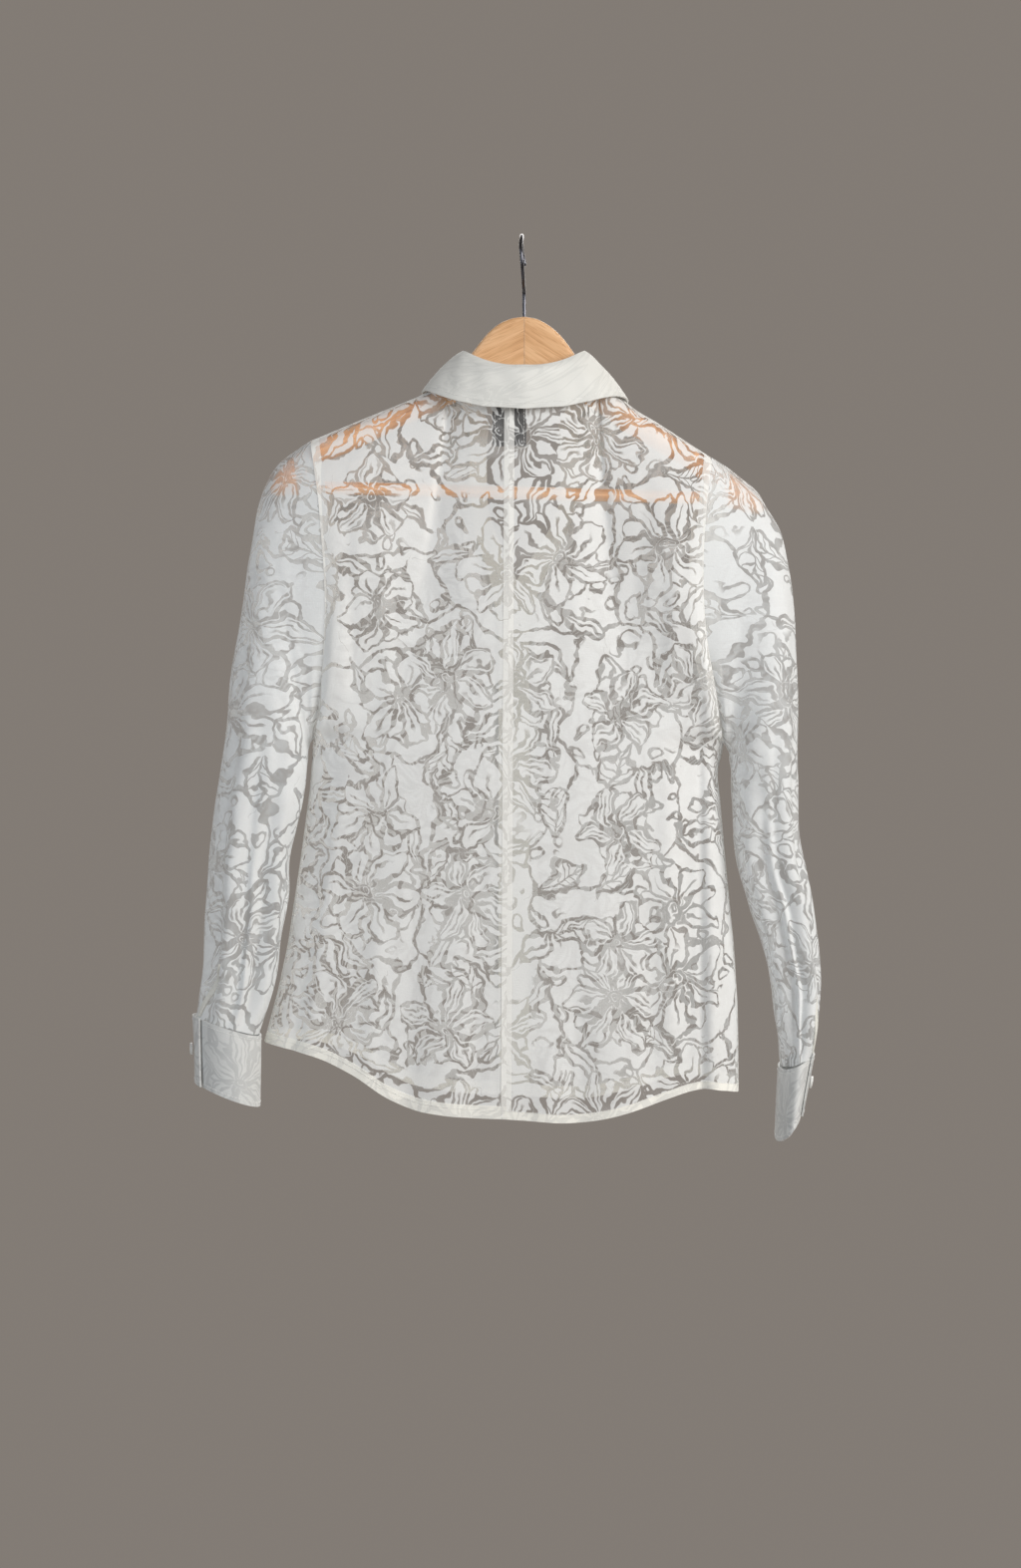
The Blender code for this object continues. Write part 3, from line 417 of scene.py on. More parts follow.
SHOULDER = {
    LEFT: listed(Spot, [
        (-67, -125.5), (-90, -142), (-123, -155.3), (-158, -169.7), (-190.4, -183.2),
    ]),
    RIGHT: listed(Spot, [
        (69, -125.5), (95, -151.5), (124, -168.8), (150, -185.9), (169.7, -198.5),
    ]),
}
ARMHOLE = {
    LEFT: listed(Spot, [
        (-190.4, -183.2), (-182.3, -235.4), (-176.5, -298.4), (-175.1, -334.4), (-177, -379.4),
        (-181, -419.9), (-188, -452),
    ]),
    RIGHT: listed(Spot, [
        (169.7, -198.5), (163.4, -241.7), (159.4, -302), (160.7, -338), (163.4, -366.8),
        (170.6, -405.5), (180.5, -455.9),
    ]),
}
SIDE_SEAM = {
    LEFT: listed(Spot, [
        (-188, -452), (-192, -500), (-200, -560), (-212, -640), (-221, -681),
        (-232.7, -725),
    ]),
    RIGHT: listed(Spot, [
        (180.5, -455.9), (175.5, -479.3), (177.8, -506.3), (182, -554.9), (190.4, -640.4),
        (194, -699.8), (194.5, -770),
    ]),
}
HEM = listed(Spot, [
    (-232.7, -725), (-191.3, -734), (-159.8, -746.6), (-136.4, -761), (-114.8, -777),
    (-89.6, -784.4), (-56.3, -788.9), (-13.1, -790.5), (34.7, -794), (55.4, -793.5), (79.7, -788.9),
    (100.4, -783.5), (123.8, -775), (144.5, -768.2), (163.4, -764.6), (194.5, -770),
])

# A fold is a soft ridge when its depth is positive and a trough when it is negative
Fold = namedtuple("Fold", "face x_top x_low z_top z_low width depth")
FOLDS = listed(Fold, [
    (BACK, 166, 172, -300, -790, 9, 5), (BACK, 148, 152, -380, -790, 12, -3.5),
    (BACK, -150, -196, -420, -760, 12, 3.5), (BACK, -60, -72, -560, -800, 20, 2.5),
    (BACK, 70, 84, -520, -800, 22, 2.5), (FRONT, 120, 142, -330, -790, 14, 6),
    (FRONT, -118, -150, -330, -770, 15, 5), (FRONT, 66, 72, -420, -790, 16, -4),
    (FRONT, -70, -84, -400, -790, 18, 4), (BACK, 157, 161, -340, -800, 4, -2.2),
    (BACK, 178, 184, -470, -760, 5, -1.8), (BACK, 128, 131, -430, -700, 8, 1.6),
    (BACK, 108, 118, -560, -800, 9, -1.9), (BACK, 46, 52, -610, -800, 10, -1.4),
    (BACK, 20, 24, -500, -800, 12, 1.1), (BACK, -38, -42, -470, -800, 11, -1.3),
    (BACK, -92, -104, -520, -790, 12, -2), (BACK, -122, -140, -560, -770, 8, 1.9),
    (BACK, -168, -206, -480, -745, 6, -2.1), (BACK, -132, -118, -215, -420, 9, 1.8),
    (BACK, -156, -150, -230, -400, 6, -1.6), (BACK, 138, 130, -235, -400, 7, 1.7),
    (BACK, 112, 96, -215, -360, 10, -1.5), (BACK, -74, -50, -190, -330, 12, 1.2),
    (BACK, 58, 44, -190, -350, 12, 1.3), (FRONT, 96, 108, -300, -790, 8, -2.4),
    (FRONT, 44, 46, -460, -790, 9, 2), (FRONT, -48, -54, -520, -790, 10, -2.2),
    (FRONT, -98, -118, -480, -780, 9, 2.4), (FRONT, -140, -182, -420, -740, 8, -2.6),
    (FRONT, 156, 170, -470, -770, 6, 2.1), (FRONT, 24, 24, -640, -800, 9, 1.6),
    (FRONT, 132, 122, -230, -380, 8, 2), (FRONT, -138, -126, -220, -400, 9, -2),
])


def along(table, column, value, wanted):
    """The wanted column of a table where its other column has this value, straight between its rows."""
    rows = sorted(table, key=lambda row: getattr(row, column))
    return float(np.interp(value, [getattr(r, column) for r in rows], [getattr(r, wanted) for r in rows]))


def smooth_step(low, high, value):
    share = np.clip((value - low) / (high - low), 0.0, 1.0)
    return share * share * (3 - 2 * share)


def unit(vectors):
    return vectors / np.maximum(np.linalg.norm(vectors, axis=-1, keepdims=True), 1e-9)


def normals_of(grid, outward, ring=False):
    """Unit normals of a grid of points. They point the way that the outward vectors do."""
    down = np.gradient(grid, axis=0)
    across = np.gradient(grid, axis=1)
    if ring:
        across[:, [0, -1]] = (grid[:, 1] - grid[:, -2])[:, None]
    found = unit(np.cross(down, across))
    return found * np.sign((found * outward).sum())


def curve(first, slope, last, last_slope, share):
    """A point of the smooth curve that leaves the first point and reaches the last one with these slopes."""
    cube, square = share**3, share**2
    return (
        first * (2 * cube - 3 * square + 1) + slope * (cube - 2 * square + share)
        + last * (3 * square - 2 * cube) + last_slope * (cube - square)
    )


def refine(grid, count, axis, ring=False):
    """More points along one axis of a grid, on a smooth curve through the ones that it has."""
    grid = np.moveaxis(grid, axis, 0)
    if ring:
        grid = np.concatenate([grid[-3:], grid, grid[:4]])
    steps = np.linalg.norm(np.diff(grid, axis=0), axis=-1).mean(axis=-1)
    place = np.concatenate([[0], np.cumsum(steps)])
    slope = np.gradient(grid, place, axis=0)
    ends = (place[3], place[-4]) if ring else (0, place[-1])
    wanted = np.linspace(*ends, count)
    first = np.clip(np.searchsorted(place, wanted, side="right") - 1, 0, len(place) - 2)
    gap = (place[first + 1] - place[first])[:, None, None]
    share = (wanted - place[first])[:, None, None] / gap
    made = curve(grid[first], slope[first] * gap, grid[first + 1], slope[first + 1] * gap, share)
    return np.moveaxis(made, 0, axis)


def flat_of(grid, axes=(0, 1, 2)):
    """How far each point lies across the cloth, measured along these axes, and how far down it."""
    across = np.linalg.norm(np.diff(grid[..., axes], axis=1), axis=-1)
    down = np.linalg.norm(np.diff(grid, axis=0), axis=-1)
    across = np.concatenate([np.zeros((len(grid), 1)), np.cumsum(across, axis=1)], axis=1)
    down = np.concatenate([np.zeros((1, grid.shape[1])), np.cumsum(down, axis=0)], axis=0)
    return np.stack([across, down], axis=-1)


def weave_of(grid, start):
    """Where each point lies on the length of cloth, whose warp hangs upright."""
    return np.stack([flat_of(grid, (0, 1))[..., 0], grid[..., 2]], axis=-1) + start


def lay(name, grid, cloth, slot, weave=None, ring=False, wall=None, solid=False):
    """A piece on a grid of points in millimetres: a sheet, a closed wall on their inside where a wall gives
    its outward normals and thickness, or the solid that a tube of rings becomes when its ends are closed."""
    rows, columns = grid.shape[:2]
    shape = bmesh.new()
    bmesh.ops.create_grid(shape, x_segments=columns - 1, y_segments=rows - 1, size=1.0)
    shape.verts.ensure_lookup_table()
    points = grid.reshape(-1, 3) * MM
    spots = (flat_of(grid) if weave is None else weave).reshape(-1, 2) * MM
    layer = shape.loops.layers.uv.new("cloth")
    for face in shape.faces:
        for loop in face.loops:
            loop[layer].uv = spots[loop.vert.index]
    for vert, point in zip(shape.verts, points):
        vert.co = point
    if ring:
        bmesh.ops.remove_doubles(shape, verts=shape.verts, dist=1e-6)
    if solid:
        bmesh.ops.holes_fill(shape, edges=shape.edges[:])
    if wall:
        outward, thickness = wall
        shape.normal_update()
        if sum(vert.normal.dot(Vector(way)) for vert, way in zip(shape.verts, outward.reshape(-1, 3))) < 0:
            bmesh.ops.reverse_faces(shape, faces=shape.faces[:])
            shape.normal_update()
        bmesh.ops.solidify(shape, geom=shape.faces[:], thickness=thickness * MM)
    bmesh.ops.recalc_face_normals(shape, faces=shape.faces)
    smooth(shape)
    return add_piece(name, shape, slot, cloth, sharp=60 if wall or solid else None)


def between(grid, share, axis=1):
    """The line that runs along a grid at a share of its width."""
    grid = np.moveaxis(grid, axis, 0)
    place = share * (len(grid) - 1)
    first = min(int(place), len(grid) - 2)
    return grid[first] + (grid[first + 1] - grid[first]) * (place - first)


def sew_on(node, grid, cloth, wall, seams, axis=1):
    """A doubled piece in the place of a CAD node, with named rows of stitches at shares of its width."""
    piece = lay(f"{node}_cloth", grid, cloth, "plain_cloth", wall=wall)
    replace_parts(piece, node)
    for name, share in seams.items():
        stitches(f"{node}_{name}", between(grid, share, axis), between(wall[0], share, axis), "plain_cloth")
    return piece


def neck(angle):
    """A point of the neck seam."""
    turn = math.radians(abs(angle))
    x = NECK_X + math.copysign(NECK_HALF_WIDTH * math.sin(turn), angle)
    if abs(angle) <= 90:
        rise = (NECK_SIDE_Z - NECK_BACK_Z) * math.sin(turn) ** 2
        return np.array([x, -NECK_BACK * math.cos(turn), NECK_BACK_Z + rise])
    drop = NECK_FRONT_DROP * ((abs(angle) - 90) / (NECK_END - 90)) ** 1.5
    return np.array([x, -NECK_FRONT * math.cos(turn), NECK_SIDE_Z - drop])


def armhole_point(side, face, turn):
    """A point of the armhole seam: turn runs from 0 at the shoulder to pi under the arm."""
    top, low = SHOULDER[side][-1].z, UNDERARM_Z[side]
    z = top + (low - top) * (1 - math.cos(turn)) / 2
    roundness = 0.6 if turn < math.pi / 2 else 0.95
    y = ARMHOLE_HALF_DEPTH * max(0.0, math.sin(turn)) ** roundness
    return np.array([along(ARMHOLE[side], "z", z, "x"), face * y, z])


def openness(z):
    """1 where the button bands lie open, at the neck, and 0 where they are closed."""
    return smooth_step(CLOSED_Z, OPEN_Z, z)


def half_depth(z):
    """Half the body's depth at its middle."""
    return CHEST_HALF_DEPTH + (HEM_HALF_DEPTH - CHEST_HALF_DEPTH) * smooth_step(-460.0, HEM_Z, z)


def centre_back(z):
    x = CENTRE_BACK_X + (CENTRE_BACK_HEM_X - CENTRE_BACK_X) * (z - NECK_BACK_Z) / (HEM_Z - NECK_BACK_Z)
    y = neck(CENTRE_BACK_ANGLE)[1]
    return np.array([x, y + (-half_depth(z) - y) * smooth_step(NECK_BACK_Z, -300.0, z), z])


def band_edge(side, z, free=False):
    """The line where a front meets its band, or the band's free edge."""
    top = neck(side * (NECK_END if free else BAND_ANGLE))
    closed = CLOSURE_X + side * BAND_WIDTH / 2 * (-1 if free else 1)
    y = top[1] + (half_depth(z) - top[1]) * smooth_step(top[2], -330.0, z)
    return np.array([closed + (top[0] - closed) * openness(z), y, z])


def hem_z(face, x, share):
    rise = FRONT_HEM_RISE * (1 - share**4) if face == FRONT else 0.0
    return along(HEM, "x", x, "z") + rise


def centre_line(side, face, z):
    return centre_back(z) if face == BACK else band_edge(side, z)


def panel_form(side, face):
    """The plain form of one front or one half of the back, by rows from the shoulder to the hem."""
    shares = np.sin(np.linspace(0, math.pi / 2, PANEL_COLUMNS + 1))
    start = CENTRE_BACK_ANGLE if face == BACK else side * BAND_ANGLE
    neckline = [neck(angle) for angle in np.linspace(start, side * 90, NECK_COLUMNS + 1)]
    ends = SHOULDER[side][0].x, SHOULDER[side][-1].x
    shoulder = [
        np.array([x, 0.0, along(SHOULDER[side], "x", x, "z")])
        for x in np.linspace(*ends, PANEL_COLUMNS - NECK_COLUMNS + 1)[1:]
    ]
    top = np.array(neckline + shoulder)
    eased = top.copy()
    ease = np.hypot if face == FRONT else np.maximum
    eased[:, 1] = face * ease(face * eased[:, 1], SHOULDER_EASE)

    under_z = UNDERARM_Z[side]
    bulge = (1 - shares**SIDE_ROUNDNESS) ** (1 / SIDE_ROUNDNESS)
    middle = centre_line(side, face, under_z)
    under_x = middle[0] + (SIDE_SEAM[side][0].x - middle[0]) * shares
    under = np.stack([under_x, face * half_depth(under_z) * bulge, np.full(len(shares), under_z)], axis=1)

    rows = [top]
    for step in range(1, ARM_ROWS + 1):
        turn = math.pi * step / ARM_ROWS
        drop = (1 - math.cos(turn)) / 2
        centre = centre_line(side, face, top[0][2] + (under_z - top[0][2]) * drop)
        base = (1 - drop) * eased + drop * under
        pull = armhole_point(side, face, turn) - base[-1]
        near_edge = np.stack([shares, shares ** (1 + 5 * drop), shares], axis=1)
        rows.append(base + np.outer(1 - shares, centre - base[0]) + near_edge * pull)

    corner = SIDE_SEAM[side][-1]
    low_x = centre_line(side, face, HEM_Z)[0]
    hem = np.array([hem_z(face, low_x + (corner.x - low_x) * share, share) for share in shares])
    for step in np.linspace(0, 1, 13)[1:]:
        z = under_z + (hem - under_z) * step
        edge_x = along(SIDE_SEAM[side], "z", under_z + (corner.z - under_z) * step, "x")
        centre_x = np.array([centre_line(side, face, each)[0] for each in z])
        depth = half_depth(z) * bulge
        rows.append(np.stack([centre_x + (edge_x - centre_x) * shares, face * depth, z], axis=1))
    return np.array(rows)


def body_sheet(side, face):
    """The panel at full detail, with its folds and the faint unevenness that a washed cloth has."""
    grid = refine(refine(panel_form(side, face), FINE_ROWS, 0), FINE_COLUMNS, 1)
    x, z = grid[..., 0], grid[..., 2]
    flat = flat_of(grid)
    edge = np.minimum(flat[..., 0], 1.03 * flat[:, -1:, 0] - flat[..., 0])
    fade = smooth_step(0.0, EDGE_FADE, edge) * smooth_step(FOLDS_START, FOLDS_FULL, flat[..., 1])
    rise = np.zeros(x.shape)
    for fold in FOLDS:
        if fold.face == face:
            share = (fold.z_top - z) / (fold.z_top - fold.z_low)
            middle = fold.x_top + (fold.x_low - fold.x_top) * share
            grow = np.sin(np.clip(share * 1.6, 0.0, 1.0) * math.pi / 2) * (1 - smooth_step(1.0, 1.15, share))
            rise += fold.depth * grow * np.exp(-(((x - middle) / fold.width) ** 2))
    rise += 0.45 * np.sin(x / 13.0 + 1.7 * np.sin(z / 61.0)) * np.sin(z / 47.0 + 0.8 * face)
    rise += 0.3 * np.sin(x / 5.7 - z / 90.0 + 2.0 * np.sin(z / 33.0)) * np.sin(x / 37.0 + side)
    grid[..., 1] += face * fade * rise
    return grid


PANELS = {
    (side, face): f"{word}_{way}" for face, word in ((BACK, "back"), (FRONT, "front")) for side, way in WAYS
}
panels, weaves, sheets = {}, {}, {}
for (side, face), node in PANELS.items():
    grid = body_sheet(side, face)
    weave = weave_of(grid, WEAVE_START[side, face])
    sheets[node] = lay(f"{node}_cloth", grid, "sheer_cloth", "sheer_cloth", weave)
    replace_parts(sheets[node], node)
    panels[side, face], weaves[side, face] = grid, weave


# The hems and seams of the body: the cloth is turned up twice and stitched at the hem, and each seam is
# felled flat with its fold outside, so both read as whiter strips with fainter lines.
SEAM_WIDTH = 8.0
SIDE_WIDTH = 4.0
FELL_LIFT = 0.35
CENTRE_SEAM_WIDTH = 4.6
HEM_LIFT = 0.5
HEM_WALL = 1.0
HEM_STITCH_INSET = 1.2
Strip = namedtuple("Strip", "name edge inner width columns")


def row_at(grid, distance):
    """The row of a grid that lies this far above its last row."""
    down = flat_of(grid)[:, grid.shape[1] // 2, 1]
    return int(np.argmin(np.abs(down[-1] - distance - down)))


def band_along(edge, inner, width, count):
    """Points from a line towards another one, as far as the width, with this many columns."""
    way = unit(inner - edge)
    return np.stack([edge + way * width * share for share in np.linspace(0, 1, count)], axis=1)


for (side, face), node in PANELS.items():
    grid, weave = panels[side, face], weaves[side, face]
    normals = normals_of(grid, (0, face, 0))
    last = row_at(grid, HEM_DEPTH)
    hem, wall = grid[last:] + normals[last:] * HEM_LIFT, (normals[last:], HEM_WALL)
    trims = [lay(f"{node}_hem", hem, "doubled_cloth", "sheer_cloth", weave[last:], wall=wall)]
    row = row_at(grid, HEM_DEPTH - HEM_STITCH_INSET)
    sewn = grid[row] + normals[row] * (HEM_LIFT + 0.1)
    stitches(f"{node}_hem_stitching", sewn, normals[row], "sheer_cloth")
    outside = grid + normals * FELL_LIFT
    under = int(np.argmin(np.abs(grid[:, -1, 2] - UNDERARM_Z[side])))
    middle = FINE_COLUMNS // 2
    for strip in (
        Strip("centre", np.s_[4:, 0], np.s_[4:, 20], CENTRE_SEAM_WIDTH if face == BACK else SEAM_WIDTH, 4),
        Strip("armhole", np.s_[2:under, -1], np.s_[2:under, -24], SEAM_WIDTH, 5),
        Strip("side", np.s_[under:, -1], np.s_[under:, -20], SIDE_WIDTH, 4),
        Strip("shoulder", np.s_[0, middle:], np.s_[8, middle:], SIDE_WIDTH, 4),
    ):
        laid, drawn = (
            band_along(points[strip.edge], points[strip.inner], strip.width, strip.columns)
            for points in (outside, weave)
        )
        trims.append(lay(f"{node}_{strip.name}_seam", laid, "seam_cloth", "sheer_cloth", drawn))


# The sleeves: one piece each, set into the armhole, with the long creases of their pressing and hanging.
Ring = namedtuple("Ring", "out_x out_y out_z in_x in_y in_z half")
SLEEVE = {
    LEFT: listed(Ring, [
        (-190.9, 0, -183.2, -188.5, 0, -452, 44), (-205.7, 2, -193, -190, 0, -453.5, 44),
        (-220, 4, -203.9, -191.2, 0, -455, 44), (-228.6, 5, -216, -192, -1, -456.5, 44),
        (-234.2, 5, -228.2, -192.4, -2, -458, 43), (-238.4, 5, -240.8, -192.8, -3, -460, 43),
        (-243.5, 4, -272.3, -193, -5, -463, 43), (-248, 3, -298.4, -193.2, -7, -466, 43),
        (-252.5, 2, -329.9, -193.4, -9, -470, 42), (-257.9, 0, -365, -193.6, -11, -475, 42),
        (-263.3, -2, -400, -194, -13, -482, 41), (-266.5, -4, -440, -195.4, -15, -495, 40),
        (-271, -6, -478, -198, -16, -513, 39), (-277.5, -7, -516, -203.5, -16, -534, 37),
        (-281, -8, -554, -209, -16, -561, 36), (-284.3, -8, -592, -210, -16, -594, 35),
        (-286.2, -8, -632, -217, -16, -633, 34), (-288, -8, -665, -222, -16, -671, 34),
        (-293, -8, -700, -236.5, -16, -717, 34),
    ]),
    RIGHT: listed(Ring, [
        (170.2, 0, -198.5, 181, 0, -455.9, 44), (183.2, 2, -206.6, 182.2, 0, -457.2, 44),
        (197.6, 4, -217.4, 183.4, 0, -458.5, 44), (212, 5, -229.6, 184.4, 1, -460, 44),
        (220.6, 5, -244, 185.2, 2, -461.5, 45), (230.9, 5, -260.6, 186, 2, -463, 46),
        (239, 5, -294.8, 186.8, 3, -466, 48), (245.3, 5, -338, 187.4, 3, -470, 49),
        (247.2, 5, -385.7, 188, 3, -476, 50), (248.2, 5, -434.3, 188.7, 4, -487, 49),
        (248.4, 5, -482, 189.5, 4, -507, 47), (248.8, 5, -530, 190.8, 4, -537, 45),
        (255.2, 5, -571, 195, 4, -570, 43), (261.8, 5, -605, 205, 4, -603, 42),
        (265.4, 5, -640, 217, 4, -640, 42), (267.6, 5, -674, 225.5, 4, -676, 43),
        (265.4, 5, -695, 228, 4, -702, 44), (262.8, 5, -715, 231.5, 4, -725, 45),
        (259.8, 5, -735, 233.5, 4, -747, 45),
    ]),
}
RING_ROUNDNESS = 0.85
BOW_RINGS = 6

# A crease's angles are round its ring: 0 is outermost, 90 is towards the back, 270 towards the front
Crease = namedtuple("Crease", "angle_top angle_low first last width depth")
CREASES = {
    LEFT: listed(Crease, [
        (64, 76, 4, 17, 15, 5.5), (118, 128, 6, 18, 13, -6), (235, 250, 6, 17, 16, 4.5),
        (40, 52, 3, 12, 8, -2.2), (88, 98, 6, 15, 9, -2.6), (106, 112, 11, 18, 6, 2.4),
        (140, 150, 8, 16, 9, 2.8), (54, 60, 12, 18, 7, -2), (22, 30, 9, 18, 9, 1.8),
        (270, 282, 5, 15, 9, -2.6), (300, 312, 8, 18, 9, 2.6), (212, 220, 9, 17, 8, -2.4),
        (330, 336, 4, 13, 8, -1.7),
    ]),
    RIGHT: listed(Crease, [
        (58, 66, 5, 17, 14, 6), (104, 112, 6, 18, 14, -6.5), (292, 284, 6, 17, 16, 4.5),
        (36, 44, 3, 13, 8, -2.4), (80, 86, 5, 16, 8, -2.9), (94, 97, 9, 18, 6, 2.6),
        (130, 138, 6, 17, 10, 3.2), (150, 154, 10, 18, 7, -2.1), (20, 26, 8, 18, 9, 1.9),
        (262, 256, 5, 16, 9, -2.8), (236, 232, 8, 17, 10, 2.6), (318, 310, 7, 18, 9, -2.4),
        (340, 334, 5, 14, 8, 1.7),
    ]),
}
SLEEVE_ROWS = 181
SLEEVE_COLUMNS = 145
SLEEVE_WEAVE_START = {LEFT: (-300, 865), RIGHT: (1005, 265)}
OUTER_COLUMN = SLEEVE_COLUMNS // 2
ALLOWANCE_DEPTH = 0.6
OVAL_WIDTH = 32.0
OVAL_DEPTH = 42.0


def ring_points(side, ring, number, roundness, angles, growth=0.0):
    """The points of one ring of a sleeve or cuff. A growth winds it outwards from its start to its end."""
    outer = np.array([ring.out_x, ring.out_y, ring.out_z])
    inner = np.array([ring.in_x, ring.in_y, ring.in_z])
    span = outer - inner
    chord_top, chord_low = SHOULDER[side][-1], SIDE_SEAM[side][0]
    points = []
    for angle in angles:
        turn = math.radians(angle)
        share = (1 - math.cos(turn)) / 2
        depth = -math.copysign(ring.half * abs(math.sin(turn)) ** roundness, math.sin(turn))
        point = outer - span * share + np.array([0, depth, 0])
        if number is not None:
            z = chord_top.z + (chord_low.z - chord_top.z) * share
            bow = along(ARMHOLE[side], "z", z, "x") - (chord_top.x + (chord_low.x - chord_top.x) * share)
            point[0] += bow * max(0.0, 1 - number / BOW_RINGS) ** 2
        away = unit(2 * span * math.cos(turn) / (span @ span) - np.array([0, math.sin(turn) / ring.half, 0]))
        points.append(point + away * growth * (angle - angles[0]) / (angles[-1] - angles[0]))
    return np.array(points)


def tube_normals(grid, ring=True):
    """Unit normals of a tube of rings, pointing out of it."""
    return normals_of(grid, grid - grid.mean(axis=1, keepdims=True), ring)


def sleeve_form(side):
    """The plain form of a sleeve, with its first ring on the armhole seam."""
    angles = np.linspace(0, 360, 2 * ARM_ROWS + 1)
    rings = []
    for number, ring in enumerate(SLEEVE[side]):
        roundness = 0.6 + (RING_ROUNDNESS - 0.6) * min(1.0, number / 8)
        rings.append(ring_points(side, ring, number, roundness, angles))
    for n in range(2 * ARM_ROWS + 1):
        turn = math.pi * n / ARM_ROWS
        face = BACK if n <= ARM_ROWS else FRONT
        rings[0][n] = armhole_point(side, face, turn if n <= ARM_ROWS else 2 * math.pi - turn)
    return np.array(rings)


def sleeve_sheet(side):
    """The sleeve at full detail, with its creases."""
    form = sleeve_form(side)
    grid = refine(refine(form, SLEEVE_ROWS, 0)[:, :-1], SLEEVE_COLUMNS, 1, ring=True)
    grid = np.concatenate([grid[:, OUTER_COLUMN:-1], grid[:, : OUTER_COLUMN + 1]], axis=1)
    angle = np.linspace(180, 540, SLEEVE_COLUMNS)[None] % 360
    number = np.linspace(0, len(form) - 1, SLEEVE_ROWS)[:, None]
    rise = np.zeros(grid.shape[:2])
    for crease in CREASES[side]:
        share = np.clip((number - crease.first) / (crease.last - crease.first), 0.0, 1.0)
        middle = crease.angle_top + (crease.angle_low - crease.angle_top) * share + 1.6 * np.sin(number * 1.9)
        grow = np.sin(math.pi * np.minimum(1.0, share * 1.4) * 0.5) * smooth_step(18.6, 16.5, number)
        rise += crease.depth * grow * np.exp(-(((angle - middle) / crease.width) ** 2))
    seam_fade = smooth_step(0.4, 4.0, number) * smooth_step(18.2, 17.0, number)
    rise += 0.5 * seam_fade * np.sin(np.radians(angle * 5)) * np.sin(number * 2.3 + np.radians(angle * 2))
    return grid + tube_normals(grid) * rise[..., None]


def sleeve_weave(side, grid, start):
    """Where each point lies on the cloth: its height, and how far round an oval as wide as the sleeve."""
    x, y, z = np.moveaxis(grid, -1, 0)
    inner = ARMHOLE[side][:-1] + [Spot(ring.in_x, ring.in_z) for ring in SLEEVE[side]]
    out_x = np.interp(-z, [-ring.out_z for ring in SLEEVE[side]], [ring.out_x for ring in SLEEVE[side]])
    in_x = np.interp(-z, [-spot.z for spot in inner], [spot.x for spot in inner])
    ring_y = [(ring.in_y + ring.out_y) / 2 for ring in SLEEVE[side]]
    middle_y = np.interp(-z, [-ring.in_z for ring in SLEEVE[side]], ring_y)
    half_width = np.maximum(np.abs(out_x - in_x) / 2, 14.0)
    turn = np.arctan2((middle_y - y) / OVAL_DEPTH, side * (x - (out_x + in_x) / 2) / half_width)
    turn[:, 0], turn[:, -1] = -math.pi, math.pi
    around = np.linspace(0, math.pi, 181)
    steps = np.hypot(OVAL_WIDTH * np.sin(around), OVAL_DEPTH * np.cos(around))
    reach = np.cumsum(steps) * (around[1] - around[0])
    return np.stack([np.copysign(np.interp(np.abs(turn), around, reach), turn), z], axis=-1) + start


sleeves = {}
for side, way in WAYS:
    grid = sleeve_sheet(side)
    normals = tube_normals(grid)
    sleeves[side] = grid, normals
    weave = sleeve_weave(side, grid, SLEEVE_WEAVE_START[side])
    piece = lay(f"sleeve_{way}_cloth", grid, "sleeve_cloth", "sheer_cloth", weave, ring=True)
    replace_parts(piece, f"sleeve_{way}")
    inside = grid - normals * ALLOWANCE_DEPTH
    trims = [lay(f"sleeve_{way}_armhole_seam", inside[:7], "seam_cloth", "sheer_cloth", ring=True)]
    for word, columns in (("front", np.s_[:4]), ("back", np.s_[-4:])):
        name = f"sleeve_{way}_{word}_allowance"
        trims.append(lay(name, inside[6:, columns], "seam_cloth", "sheer_cloth"))
    sheets[f"sleeve_{way}"] = piece, trims


# The button bands: two plain strips of doubled cotton down the front edges, the right one over the left.
# They lie open at the neck and are stitched along both edges.
BAND_STEP = 2.0
BAND_FLARE = 8.0
BAND_WALL = 1.0

for side, way in WAYS:
    sewn_line = panels[side, FRONT][:, 0]
    free_top = neck(side * NECK_END)[2]
    free_low = hem_z(FRONT, CLOSURE_X, 0.0)
    rows = []
    for sewn in sewn_line:
        step = (sewn[2] - sewn_line[0][2]) / (sewn_line[-1][2] - sewn_line[0][2])
        free = band_edge(side, free_top + (free_low - free_top) * step, free=True)
        row = []
        for across in np.linspace(0, 1, 13):
            point = sewn + (free - sewn) * across
            sink = 0.0 if side == RIGHT else -BAND_STEP
            flare = BAND_FLARE * across * openness(point[2]) ** 2 * min(1.0, step * 6)
            point[1] += sink + flare + 0.35 * math.sin(point[2] / 21.0 + side) * math.sin(math.pi * across)
            row.append(point)
        rows.append(row)
    grid = np.array(rows)
    normals = normals_of(grid, (0, 1, 0))
    seams = {"stitching_1": 0.08, "stitching_2": 0.92}
    rests_on = [f"front_{way}_cloth"]
    sew_on(f"placket_{way}", grid, "plain_cloth", (normals, BAND_WALL), seams)


# The buttons: six down the bands and one on each cuff, turned from shell, with a raised rim, a dished middle
# and four holes, sewn on with a cross of white thread.
BUTTON_RADIUS = 5.5
BUTTON_THICKNESS = 2.2
RIM_RADIUS = 0.45
DISH_STEPS = ((0.7, 0.0), (0.5, -0.45), (0.9, -0.15))
HOLE_SPACING = 1.25
HOLE_RADIUS = 0.75
THREAD_RADIUS = 0.36

